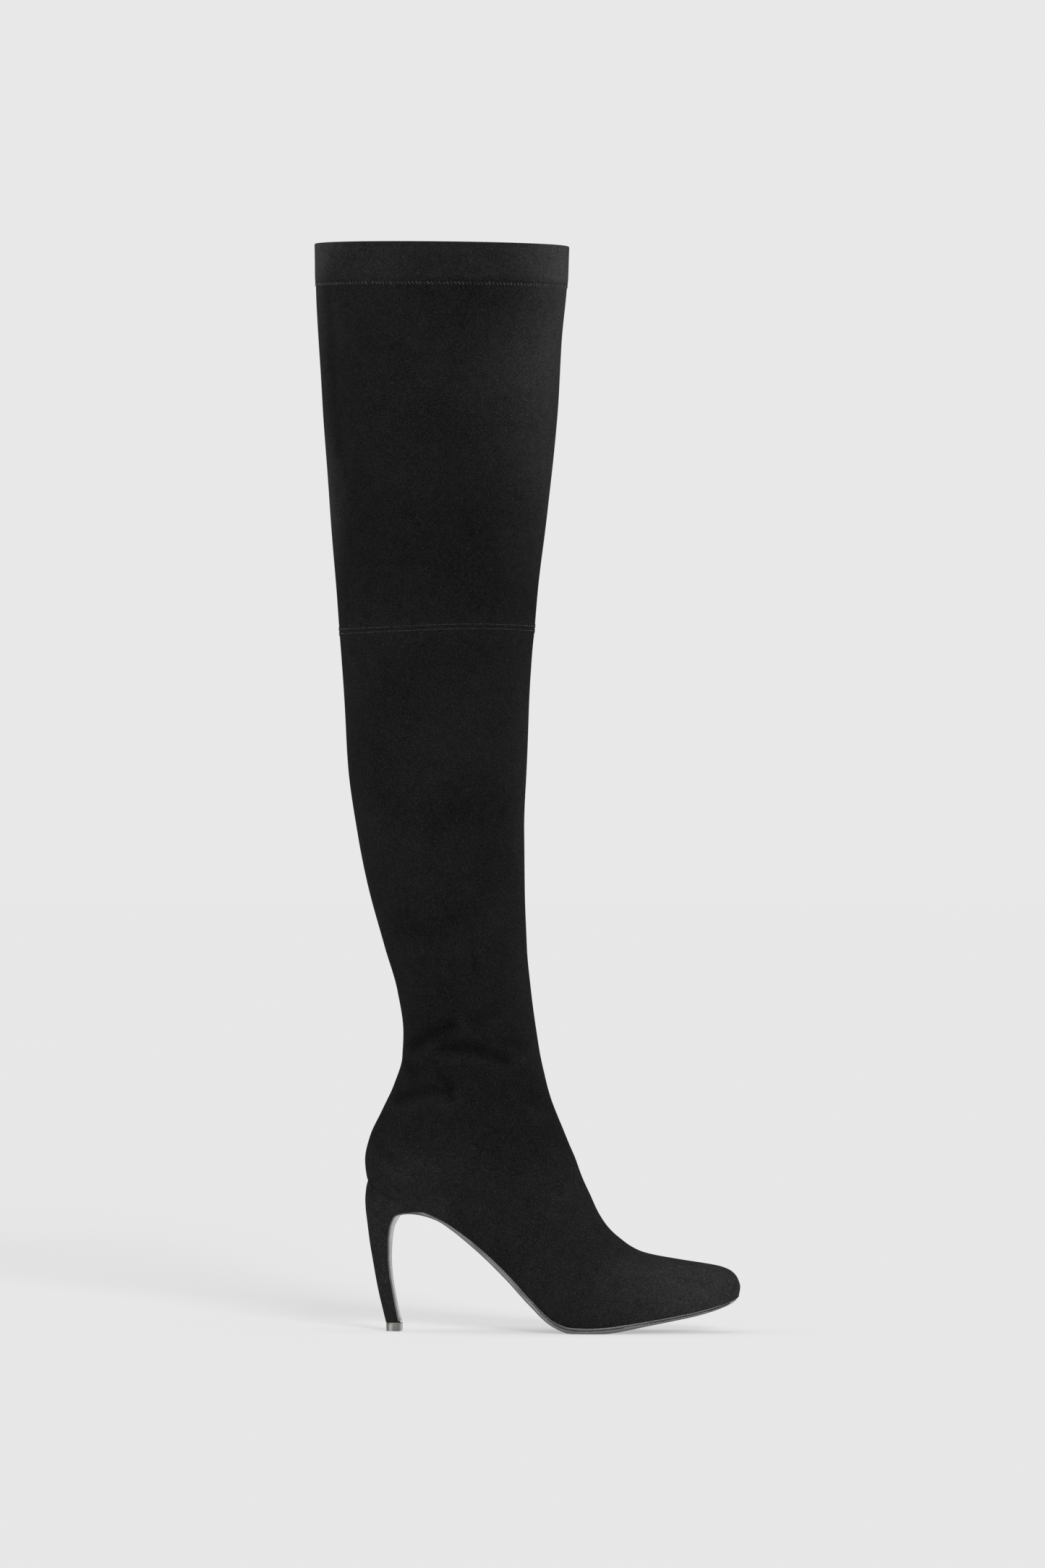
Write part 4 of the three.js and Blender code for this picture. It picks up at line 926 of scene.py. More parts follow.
@dataclass(frozen=True)
class PolishedLeather:
    """Black sole leather with a waxed edge: faint pores, soft streaks and a clear coat, and a light colour laid in
    where the points carry painted reflection.
    """

    name: str
    dark: Colour = (0.010, 0.010, 0.0105)
    light: Colour = (0.034, 0.033, 0.032)
    painted_reflection_colour: Colour = (0.20, 0.198, 0.193)
    roughness: tuple[float, float] = (0.20, 0.38)
    coat: float = 0.55

    def build(self) -> bpy.types.Material:
        """Make the material."""
        nodes = Nodes(self.name)
        streak = nodes.noise(90, 3, (0.35, 1, 2.2))
        pores = nodes.noise(1400, 3)
        shade = nodes.tint(nodes.remap(streak, 0.35, 0.68, 0, 1), self.dark, self.light)
        # Painted reflection: the points' value, broken into patches, mixes in the light colour.
        painted_reflection = nodes.add("ShaderNodeAttribute", attribute_name=PAINTED_LIGHT_AND_TONE).outputs["Fac"]
        painted_reflection = nodes.math("MULTIPLY", painted_reflection, nodes.remap(nodes.noise(260, 3), 0.3, 0.6, 0.55, 1.0))
        mix = nodes.add("ShaderNodeMix", data_type="RGBA")
        nodes.link(painted_reflection, mix.inputs[0])
        nodes.link(shade, mix.inputs[6])
        mix.inputs[7].default_value = (*self.painted_reflection_colour, 1)
        nodes.link(mix.outputs[2], nodes.shader.inputs["Base Color"])
        nodes.link(nodes.remap(streak, 0.3, 0.7, *self.roughness), nodes.shader.inputs["Roughness"])
        nodes.set(Specular_IOR_Level=0.6, Coat_Weight=self.coat, Coat_Roughness=0.16)
        broad = nodes.bump(streak, 0.05, 0.5)
        return nodes.done(nodes.bump(pores, 0.035, 0.6, broad))


@dataclass(frozen=True)
class LiningCloth:
    """Thin stretch lining: a fine knit over a soft dark ground."""

    name: str
    dark: Colour = (0.010, 0.010, 0.011)
    light: Colour = (0.030, 0.029, 0.030)
    rib: float = 900.0

    def build(self) -> bpy.types.Material:
        """Make the material."""
        nodes = Nodes(self.name)
        knit = nodes.add("ShaderNodeTexWave", Scale=self.rib / 6.283, Distortion=0.6, Detail=1.0)
        knit.bands_direction = "Z"
        nodes.link(nodes.place, knit.inputs["Vector"])
        cloud = nodes.noise(60, 3)
        value = nodes.math("ADD", nodes.math("MULTIPLY", knit.outputs["Fac"], 0.5), nodes.math("MULTIPLY", cloud, 0.5))
        nodes.link(nodes.tint(value, self.dark, self.light), nodes.shader.inputs["Base Color"])
        nodes.set(Roughness=0.85, Sheen_Weight=0.15, Sheen_Roughness=0.5, Specular_IOR_Level=0.25)
        return nodes.done(nodes.bump(knit.outputs["Fac"], 0.12, 0.7))


@dataclass(frozen=True)
class FootbedLeather:
    """Soft lining leather of the footbed, with a pebbled grain."""

    name: str
    dark: Colour = (0.012, 0.0115, 0.011)
    light: Colour = (0.040, 0.038, 0.036)

    def build(self) -> bpy.types.Material:
        """Make the material."""
        nodes = Nodes(self.name)
        cells = nodes.add("ShaderNodeTexVoronoi", Scale=620.0, feature="SMOOTH_F1")
        nodes.link(nodes.place, cells.inputs["Vector"])
        cloud = nodes.noise(45, 4)
        nodes.link(nodes.tint(cloud, self.dark, self.light), nodes.shader.inputs["Base Color"])
        nodes.link(nodes.remap(cloud, 0.3, 0.7, 0.42, 0.62), nodes.shader.inputs["Roughness"])
        return nodes.done(nodes.bump(cells.outputs["Distance"], 0.14, 0.6))


@dataclass(frozen=True)
class SewingThread:
    """Twisted polyester thread with a low shine, its dark colour broken by light patches that are painted glints."""

    name: str
    dark: Colour = (0.016, 0.016, 0.0162)
    light: Colour = (0.185, 0.183, 0.18)

    def build(self) -> bpy.types.Material:
        """Make the material."""
        nodes = Nodes(self.name)
        twist = nodes.noise(2600, 2)
        uneven = nodes.noise(430, 2)
        # Painted glints: light patches laid into the thread's dark colour.
        value = nodes.math("ADD", nodes.math("MULTIPLY", twist, 0.35), nodes.math("MULTIPLY", uneven, 0.65))
        nodes.link(nodes.tint(nodes.remap(value, 0.38, 0.66, 0, 1), self.dark, self.light), nodes.shader.inputs["Base Color"])
        nodes.set(Roughness=0.55, Sheen_Weight=0.15, Sheen_Roughness=0.4, Specular_IOR_Level=0.3)
        return nodes.done(nodes.bump(twist, 0.05, 0.8))


@dataclass(frozen=True)
class NeedleShade:
    """The shade inside a needle hole, with a trace of nap."""

    name: str
    dark: Colour = (0.0008, 0.0008, 0.0008)
    light: Colour = (0.0035, 0.0034, 0.0034)

    def build(self) -> bpy.types.Material:
        """Make the material."""
        nodes = Nodes(self.name)
        nap = nodes.noise(1800, 2)
        nodes.link(nodes.tint(nap, self.dark, self.light), nodes.shader.inputs["Base Color"])
        nodes.set(Roughness=1.0, Specular_IOR_Level=0.0)
        return nodes.done(nodes.bump(nap, 0.05, 0.5))


@dataclass(frozen=True)
class BrushedMetal:
    """Brushed steel of the heel tip, its lines running round it, a little duller in patches."""

    name: str
    dark: Colour = (0.23, 0.226, 0.215)
    light: Colour = (0.33, 0.324, 0.31)

    def build(self) -> bpy.types.Material:
        """Make the material."""
        nodes = Nodes(self.name)
        lines = nodes.noise(700, 3, (0.25, 0.25, 7))
        haze = nodes.noise(500, 2)
        # The colour is scaled by the points' painted reflection bands and painted shade along the top edge.
        gain = nodes.add("ShaderNodeVectorMath", operation="SCALE")
        nodes.link(nodes.tint(nodes.remap(lines, 0.3, 0.7, 0, 1), self.dark, self.light), gain.inputs[0])
        nodes.link(nodes.add("ShaderNodeAttribute", attribute_name=PAINTED_LIGHT_AND_TONE).outputs["Fac"], gain.inputs["Scale"])
        nodes.link(gain.outputs[0], nodes.shader.inputs["Base Color"])
        nodes.link(nodes.remap(haze, 0.3, 0.7, 0.22, 0.36), nodes.shader.inputs["Roughness"])
        nodes.set(Metallic=1.0)
        return nodes.done(nodes.bump(lines, 0.02, 0.7))


@dataclass(frozen=True)
class StudioFloor:
    """Seamless pale paper with a faint tooth that glows evenly, so that shadows stay soft, with a painted contact
    shadow near the boot.
    """

    name: str
    dark: Colour = (0.058, 0.058, 0.058)
    light: Colour = (0.062, 0.062, 0.062)
    glow: float = 0.648
    contact: float = 0.07
    contact_depth: float = 0.30

    def build(self) -> bpy.types.Material:
        """Make the material."""
        nodes = Nodes(self.name)
        tooth = nodes.noise(240, 2)
        nodes.link(nodes.tint(tooth, self.dark, self.light), nodes.shader.inputs["Base Color"])
        # Painted contact shadow: the glow dims where other surfaces lie within the contact distance.
        near = nodes.add("ShaderNodeAmbientOcclusion", Distance=self.contact, samples=8).outputs["AO"]
        nodes.link(nodes.remap(near, 0.0, 1.0, self.glow * (1 - self.contact_depth), self.glow),
                   nodes.shader.inputs["Emission Strength"])
        nodes.set(Roughness=1.0, Specular_IOR_Level=0.0, Emission_Color=(1, 1, 1, 1))
        return nodes.done(nodes.bump(tooth, 0.02, 0.1))


# Sub-assemblies


def settle(piece: bpy.types.Object, slot: str, *nodes: str) -> bpy.types.Object:
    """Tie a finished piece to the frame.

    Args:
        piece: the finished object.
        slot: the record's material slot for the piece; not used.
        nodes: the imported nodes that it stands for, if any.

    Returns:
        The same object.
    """
    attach(piece, "root")
    if nodes:
        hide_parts(*nodes)
    piece.data.calc_loop_triangles()
    log.info("%s: %d triangles", piece.name, len(piece.data.loop_triangles))
    return piece


@dataclass
class Upper:
    """The suede leg and foot in one shell, and the lining inside it.

    Attributes:
        form: the boot's surface.
        shell: thickness of the suede with its backing.
        rim: radius of the turned edge at the collar.
        edge: radius of the suede's edge along the feather line.
        lining: thickness of the lining.
        lining_top: how far below the collar the lining starts.
    """

    form: BootForm
    shell: float = 0.85
    rim: float = 0.9
    edge: float = 0.14
    lining: float = 0.4
    lining_top: float = 22.0

    def index(self, draft: Draft, skin: np.ndarray) -> np.ndarray:
        """Add a skin whose rings close down to the notch, and return its point numbers."""
        numbers = draft.add(skin)
        numbers[: self.form.seam_row + 1, -1] = numbers[: self.form.seam_row + 1, 0]
        return numbers

    def mouth(self, numbers: np.ndarray) -> np.ndarray:
        """Point numbers round the opening under the foot, from the notch and back to it."""
        seam = self.form.seam_row
        down = numbers[seam:-1, 0]
        up = numbers[seam + 1:-1, -1][::-1]
        return np.concatenate([down, numbers[-1], up])

    def build_shell(self, finish: bpy.types.Material) -> bpy.types.Object:
        """The suede, with its rolled collar and its edge turned in along the feather line."""
        form = self.form
        draft = Draft(form.shift)
        outside, inside = form.skin(0.0), form.skin(self.shell)
        turns = np.linspace(0, math.pi, 9)
        drop = np.array([0.0, 0.0, -self.rim])
        first_out, first_in = outside[0] + drop, inside[0] + drop
        middle, across = (first_out + first_in) / 2, (first_out - first_in) / 2
        arcs = [middle + across * math.cos(turn) + [0, 0, self.rim * math.sin(turn)] for turn in turns]
        outside[0], inside[0] = arcs[0], arcs[-1]
        low = slice(form.seam_row + 1, None)
        for j in (0, -1):
            outside[low, j, 2] += self.edge
        outside[-1, :, 2] += self.edge
        out, inn = self.index(draft, outside), self.index(draft, inside)
        draft.skin(out)
        draft.skin(inn)
        rim_loops = [draft.add(arc[:-1]) for arc in arcs[1:-1]]
        draft.band([out[0, :-1], *rim_loops, inn[0, :-1]])
        points = np.concatenate(draft.points)
        mouth_out, mouth_in = self.mouth(out), self.mouth(inn)
        edge_out, edge_in = points[mouth_out], points[mouth_in]
        inward = unit((edge_in - edge_out) * [1, 1, 0])
        loops = [mouth_out]
        for turn in (30, 60, 90):
            angle = math.radians(turn)
            moved = edge_out + inward * self.edge * (1 - math.cos(angle))
            moved[:, 2] -= self.edge * math.sin(angle)
            moved[:, 2] = np.maximum(moved[:, 2], form.feather_height(moved[:, 0]))
            loops.append(draft.add(moved))
        draft.band([*loops, mouth_in])
        # The shell's colour takes the painted light and shade from form.nap.
        return settle(draft.finish("upper_shell", finish, paint=form.nap), "suede", "upper")

    def build_lining(self, finish: bpy.types.Material) -> bpy.types.Object:
        """The lining as a thin sheet of its own, from under the cuff to the feather line."""
        form = self.form
        draft = Draft(form.shift)
        start = int(np.searchsorted(form.along, self.lining_top))
        rows = sorted({*range(start, form.seam_row, 2), *range(form.seam_row, len(form.along) - 4, 2)})
        columns = np.arange(0, form.grid.shape[1], 2)
        seam = rows.index(form.seam_row)
        skins = []
        for depth in (self.shell + 0.25, self.shell + 0.25 + self.lining):
            skin = form.skin(depth)[np.ix_(rows, columns)]
            skin[seam + 1:, 0, 2] += 0.6
            skin[seam + 1:, -1, 2] += 0.6
            numbers = draft.add(skin)
            numbers[: seam + 1, -1] = numbers[: seam + 1, 0]
            draft.skin(numbers)
            skins.append(numbers)
        draft.band([skins[0][0, :-1], skins[1][0, :-1]])
        loops = []
        for numbers in skins:
            loops.append(np.concatenate([numbers[seam:-1, 0], numbers[-1], numbers[seam + 1:-1, -1][::-1]]))
        draft.band(loops)
        return settle(draft.finish("leg_lining", finish), "suede")


class StitchStyle(Enum):
    """How a row of stitches is sewn."""

    ZIGZAG = "zigzag"
    STRAIGHT = "straight"


@dataclass
class StitchRow:
    """One row of stitches round the leg, as one joined mesh.

    Attributes:
        form: the boot's surface.
        name: name of the piece.
        style: how it is sewn.
        along: distance down the boot of its middle.
        pitch: length of one stitch, or of one full turn of the zigzag.
        spread: width of the zigzag.
        radius: radius of the thread.
        cover: share of the pitch that a straight stitch covers.
    """

    form: BootForm
    name: str
    style: StitchStyle
    along: float
    pitch: float
    spread: float = 0.0
    radius: float = 0.16
    cover: float = 0.78

    def ends(self) -> tuple[np.ndarray, np.ndarray, np.ndarray, np.ndarray]:
        """Both ends of every stitch, as distances down the boot and ways round it."""
        count = round(self.form.girth(self.along) / self.pitch)
        turn = np.arange(count) / count
        if self.style is StitchStyle.STRAIGHT:
            along = np.full(count, self.along)
            return along, turn, along, turn + self.cover / count
        top = np.full(count, self.along - self.spread / 2)
        bottom = np.full(count, self.along + self.spread / 2)
        start_along, end_along = np.concatenate([top, bottom]), np.concatenate([bottom, top])
        start_turn = np.concatenate([turn, turn + 0.5 / count])
        return start_along, start_turn, end_along, start_turn + 0.5 / count

    def build(self, finish: bpy.types.Material) -> bpy.types.Object:
        """The stitches, each a short bowed thread whose ends sink into the suede."""
        sides, rings = 6, 5
        start_along, start_turn, end_along, end_turn = self.ends()
        a, normal_a = self.form.on_leg(start_along, start_turn)
        b, normal_b = self.form.on_leg(end_along, end_turn)
        normal = unit(normal_a + normal_b)
        ahead = unit(b - a)
        beside = np.cross(normal, ahead)
        uneven = 1 + 0.24 * np.sin(2.4 * np.arange(len(a)) ** 1.1)
        returning = (np.arange(len(a)) >= len(a) / 2) if self.style is StitchStyle.ZIGZAG else np.zeros(len(a), bool)
        radius = (self.radius * uneven * np.where(returning, 0.62, 1.0))[:, None]
        sunk = np.where(returning, 0.12, 0.0)[:, None]
        around = np.linspace(0, 2 * math.pi, sides, endpoint=False)
        loops = []
        for share in np.linspace(0, 1, rings):
            swell = math.sin(math.pi * share)
            thick = radius * (0.62 + 0.38 * swell)
            centre = a * (1 - share) + b * share + normal * (radius * (1.25 * swell - 0.55) - sunk)
            ring = [centre + thick * (math.cos(t) * normal + math.sin(t) * beside) for t in around]
            loops.append(np.stack(ring, axis=1))
        draft = Draft(self.form.shift)
        numbers = draft.add(np.stack(loops, axis=1))
        for stitch in numbers:
            draft.band(list(stitch))
            draft.faces.append(stitch[0].tolist())
            draft.faces.append(stitch[-1].tolist())
        return settle(draft.finish(self.name, finish), "suede")

    def build_holes(self, name: str, finish: bpy.types.Material) -> bpy.types.Object:
        """Dark lens-shaped discs of painted shade where the needle holes are, at the top of every turn, as one joined
        mesh.

        Args:
            name: name of the piece.
            finish: its material.

        Returns:
            The discs of painted shade.
        """
        along, turn, _, _ = self.ends()
        count = len(along) // 2 if self.style is StitchStyle.ZIGZAG else len(along)
        centre, normal = self.form.on_leg(along[:count] - 0.2, turn[:count])
        level = unit(np.cross(normal, [0.0, 0.0, 1.0]))
        upright = np.cross(level, normal)
        wide, high, proud = 0.34, 0.42, 0.05
        draft = Draft(self.form.shift)
        around = np.linspace(0, 2 * math.pi, 8, endpoint=False)
        rim = [centre + level * wide * math.cos(t) + upright * high * math.sin(t) for t in around]
        rims = draft.add(np.stack(rim, axis=1))
        for ring, middle, out in zip(rims, centre, normal):
            draft.fan(ring, middle + out * proud)
            draft.fan(ring[::-1], middle - out * proud)
        return settle(draft.finish(name, finish), "suede")


@dataclass
class Station:
    """Rows of numbers along the middle line of a plate, one entry for each station."""

    line: np.ndarray
    thickness: np.ndarray
    lip: np.ndarray
    groove: np.ndarray
    medial: np.ndarray
    lateral: np.ndarray

    def directions(self) -> tuple[np.ndarray, np.ndarray]:
        """Unit directions along the plate and down through it."""
        ahead = unit(np.gradient(self.line, axis=0))
        return ahead, np.stack([ahead[:, 1], -ahead[:, 0]], axis=1)


@dataclass
class Plate:
    """A leather plate bent along a line from heel to toe, with its own edge profile.

    Attributes:
        form: the boot's surface.
        stations: the line and what the plate measures along it.
        tip: points across its toe end, as (distance ahead of the last station, y).
        profile: rows of (share of the depth, plain step, groove step), outward positive.
        floor: least height of its points, or None.
        up: True where the thickness grows upwards.
    """

    form: BootForm
    stations: Station
    tip: np.ndarray
    profile: Sequence[tuple[float, float, float]]
    floor: float | None = None
    up: bool = False

    def outline(self) -> tuple[np.ndarray, np.ndarray, np.ndarray]:
        """Stations, distances along and distances across of the plate's edge, in order."""
        st = self.stations
        count = len(st.line)
        along = running_length(st.line)
        index = np.concatenate([np.arange(count), np.full(len(self.tip), count - 1), np.arange(count)[::-1]])
        u = np.concatenate([along, along[-1] + self.tip[:, 0], along[::-1]])
        v = np.concatenate([-st.lateral, self.tip[:, 1], st.medial[::-1]])
        return index, u, v

    def loops(self) -> list[np.ndarray]:
        """Points of the edge, one loop for each row of the profile."""
        st = self.stations
        index, u, v = self.outline()
        ahead, down = st.directions()
        if self.up:
            down = -down
        du, dv = np.gradient(u), np.gradient(v)
        du[0], dv[0], du[-1], dv[-1] = 1, 0, -1, 0
        out = unit(np.stack([dv, -du], axis=1))
        along = running_length(st.line)
        result = []
        for share, plain, groove in self.profile:
            scale = st.thickness[index] / self.form.sole_thickness
            step = st.lip[index] + plain * np.clip(scale, 0.35, 1) + groove * st.groove[index]
            run = u - along[index] + out[:, 0] * step
            deep = share * st.thickness[index]
            x = st.line[index, 0] + ahead[index, 0] * run + down[index, 0] * deep
            z = st.line[index, 1] + ahead[index, 1] * run + down[index, 1] * deep
            if self.floor is not None:
                z = np.where(index > 60, np.maximum(z, self.floor), z)
            result.append(np.stack([x, v + out[:, 1] * step, z], axis=1))
        return result

    def draft(self) -> Draft:
        """The closed plate."""
        draft = Draft(self.form.shift)
        loops = [draft.add(loop) for loop in self.loops()]
        draft.band(loops)
        count = len(self.stations.line)
        for loop in (loops[0], loops[-1]):
            left, right = loop[:count], loop[::-1][:count]
            draft.skin(np.stack([left, right], axis=1))
            front = loop[count - 1:len(loop) - count + 1]
            draft.faces.append(front.tolist())
        return draft


@dataclass
class Bottom:
    """Outsole with its breast strip, the wheel marks on its rand, and the footbed.

    Attributes:
        form: the boot's surface.
        gap: clearance between pieces that meet.
        strip: thickness of the leather on the heel's breast.
        flare: small lip where that leather ends over the tip.
        seat_width: width of the heel seat.
        footbed: thickness of the footbed.
        footbed_start: its start, from the back of the heel.
        waist_share: share of the sole's thickness at which the strip leaves off.
        corner: where the strip closes up to the feather line, from and to.
    """

    form: BootForm
    gap: float = 0.06
    strip: float = 1.1
    flare: float = 0.5
    seat_width: float = 48.0
    footbed: float = 2.2
    footbed_start: float = 8.0
    waist_share: float = 0.5
    corner: tuple[float, float] = (28.0, 44.0)

    EDGE = (
        (0.0, -0.34, 0.0),
        (0.02, -0.16, 0.0),
        (0.06, -0.04, 0.0),
        (0.12, 0.0, 0.0),
        (0.24, 0.0, 0.0),
        (0.31, 0.0, -0.10),
        (0.36, 0.0, -0.42),
        (0.42, 0.0, -0.58),
        (0.48, 0.0, -0.50),
        (0.54, 0.0, -0.12),
        (0.60, 0.0, 0.0),
        (0.72, 0.0, 0.0),
        (0.83, -0.07, 0.0),
        (0.91, -0.24, 0.0),
        (0.97, -0.50, 0.0),
        (1.0, -0.82, 0.0),
    )

    def breast(self) -> np.ndarray:
        """Inner face of the leather down the heel's breast, bottom first.

        Returns:
            Columns x, z, thickness, lip, groove, medial, lateral.
        """
        rows = np.array(BREAST_ROWS[::-1]) * [self.form.foot_length, self.form.heel_height, self.seat_width]
        outer = monotone(running_length(rows[:, :2]), rows)
        length = running_length(rows[:, :2])[-1]
        fine = outer(np.linspace(0, length, 68))
        ahead = unit(np.gradient(fine[:, :2], axis=0))
        down = np.stack([ahead[:, 1], -ahead[:, 0]], axis=1)
        travel = running_length(fine[:, :2])
        flare = self.flare * (1 - smoothstep(travel, 0.0, 4.0))
        inner = fine[:, :2] - down * self.strip
        blank = np.zeros(len(fine))
        return np.stack([inner[:, 0], inner[:, 1], self.strip + flare, blank, blank, fine[:, 2], fine[:, 2]], axis=1)

    def forefoot(self) -> np.ndarray:
        """Top face of the outsole from the waist to the toe, in the same columns."""
        form = self.form
        waist = next(i for i, row in enumerate(FOOT_ROWS) if row.sole >= self.waist_share) + len(LEG_ROWS)
        start = form.row_along[waist]
        rows = form.section_at(np.concatenate([np.arange(start, form.end - 6, 2.2), np.linspace(form.end - 5, form.end, 5)]))
        x = rows[:, 0] - rows[:, 12]
        keep = [0]
        for i in range(1, len(x)):
            if x[i] - x[keep[-1]] > 0.9 and (x[-1] - x[i] > 0.9 or i == len(x) - 1):
                keep.append(i)
        if keep[-1] != len(x) - 1:
            keep[-1] = len(x) - 1
        rows, x = rows[keep], x[keep]
        line = np.stack([x, form.feather_height(x)], axis=1)
        ahead = unit(np.gradient(line, axis=0))
        top = line + np.stack([ahead[:, 1], -ahead[:, 0]], axis=1) * self.gap
        groove = smoothstep(x / form.foot_length, 0.4, 0.55)
        return np.stack([top[:, 0], top[:, 1], rows[:, 13], rows[:, 14], groove, rows[:, 4], rows[:, 5]], axis=1)

    def tip(self, row: np.ndarray) -> np.ndarray:
        """Points across the toe end of a plate, taken from a ring of the upper."""
        inner = row[4:-4:4]
        return np.stack([inner[:, 0] - row[0, 0], inner[:, 1]], axis=1)

    def sole_stations(self) -> Station:
        """The whole line of the outsole, from the bottom of the breast to the toe."""
        rows = np.vstack([self.breast(), self.forefoot()])
        along = running_length(rows[:, :2])
        joined = monotone(along, rows)
        gap_at = len(self.breast())
        extra = np.linspace(along[gap_at - 1], along[gap_at], 8)[1:-1]
        fine = joined(np.sort(np.concatenate([along, extra])))
        lift = self.form.feather_height(fine[:, 0]) - self.gap - fine[:, 1]
        lift *= smoothstep(fine[:, 0], *self.corner)
        fine[:, 1] += lift
        fine[:, 2] += lift * 0.85
        return Station(fine[:, :2], fine[:, 2], fine[:, 3], fine[:, 4], fine[:, 5], fine[:, 6])

    def painted_reflection(self, places: np.ndarray) -> np.ndarray:
        """How much painted reflection the leather's edge shows at places on it: more towards its lower part at the
        waist, painted highlights along the rand's lip and lower bevel, and a painted highlight down the heel's breast.
        """
        form = self.form
        x, y, z = places.T
        top = form.feather_height(x)
        thick = form.sole_thickness * np.interp(x / form.foot_length, *np.array(self.thickness()).T)
        depth = (top - z) / thick
        front = smoothstep(x, 110, 150)
        # Painted reflection of the pale floor, growing towards the lower part of the waist's edge.
        waist = 0.40 * smoothstep(depth, 0.35, 1.05)
        # Painted highlights on the rand's top lip and its lower bevel, and a faint painted reflection all along it.
        rand = 0.42 * bump(depth - 0.12, 0.16) + 0.30 * bump(depth - 0.92, 0.13) + 0.05
        on_foot = waist * (1 - front) + rand * front
        # Painted highlight down the heel's breast.
        breast = smoothstep(z, 84, 60) * (x < 70)
        return np.where(depth > 1.6, 0.0, on_foot) * (1 - breast) + 0.45 * breast

    @staticmethod
    def thickness() -> list[tuple[float, float]]:
        """The sole's share of its full thickness along the foot."""
        return [(row.base[0], row.sole) for row in FOOT_ROWS]

    def build_outsole(self, finish: bpy.types.Material) -> bpy.types.Object:
        """The outsole and its breast strip in one piece of leather."""
        plate = Plate(self.form, self.sole_stations(), self.tip(self.form.grid[-1]), self.EDGE, floor=0.0)
        self.plate = plate
        return settle(plate.draft().finish("outsole_leather", finish, 40, self.painted_reflection), "sole_leather", "outsole")

    def build_marks(self, finish: bpy.types.Material) -> bpy.types.Object:
        """Fine wheel marks pressed into the top of the rand round the forefoot."""
        loops = self.plate.loops()
        top, under = loops[2], loops[4]
        groove = self.plate.stations.groove[self.plate.outline()[0]]
        line = (top + under) / 2
        out = unit((under - loops[0]) * [1, 1, 0])
        keep = groove > 0.35
        line, out = line[keep], out[keep]
        along = running_length(line)
        pitch, length, half = 1.3, 0.62, 0.36
        centres = np.arange(pitch, along[-1] - pitch, pitch)
        middle = np.stack([np.interp(centres, along, line[:, c]) for c in range(3)], axis=1)
        side = unit(np.stack([np.interp(centres, along, out[:, c]) for c in range(3)], axis=1))
        nearby = np.stack([np.interp(centres + 0.2, along, line[:, c]) for c in range(3)], axis=1)
        ahead = unit(nearby - middle)
        rise = np.cross(side, ahead)
        rise *= np.sign(rise[:, 2:3])
        draft = Draft(self.form.shift)
        ring = [(-1, -1), (1, -1), (1, 1), (-1, 1)]
        levels = ((-0.12, 1.0), (0.02, 0.92), (0.06, 0.5))
        blocks = []
        for height, size in levels:
            corners = [middle + side * height + ahead * a * length / 2 * size + rise * b * half * size for a, b in ring]
            blocks.append(np.stack(corners, axis=1))
        numbers = draft.add(np.stack(blocks, axis=1))
        for mark in numbers:
            draft.band(list(mark))
            draft.faces.append(mark[0].tolist())
            draft.faces.append(mark[-1].tolist())
        return settle(draft.finish("rand_marks", finish), "sole_leather")

    def build_footbed(self, finish: bpy.types.Material) -> bpy.types.Object:
        """The footbed, lying on the feather line inside the upper."""
        form = self.form
        inner = form.skin(1.5)[form.seam_row:]
        x = (inner[:, 0, 0] + inner[:, -1, 0]) / 2
        end = inner[-1, 0, 0]
        keep = [i for i in range(1, len(x)) if self.footbed_start < x[i] < end - 2]
        kept = [keep[0]]
        for i in keep[1:]:
            if x[i] - x[kept[-1]] > 1.4:
                kept.append(i)
        kept.append(len(x) - 1)
        line = np.stack([x[kept], form.feather_height(x[kept]) + 0.02], axis=1)
        blank = np.zeros(len(kept))
        stations = Station(line, blank + self.footbed, blank, blank, inner[kept, -1, 1], -inner[kept, 0, 1])
        edge = ((0.0, -0.35, 0.0), (0.7, -0.35, 0.0), (0.9, -0.5, 0.0), (1.0, -0.95, 0.0))
        profile = [(share, step / np.clip(self.footbed / form.sole_thickness, 0.35, 1), 0.0) for share, step, _ in edge]
        plate = Plate(form, stations, self.tip(form.skin(1.5)[-1]), profile, up=True)
        return settle(plate.draft().finish("footbed", finish, 40), "insole_leather", "insole")


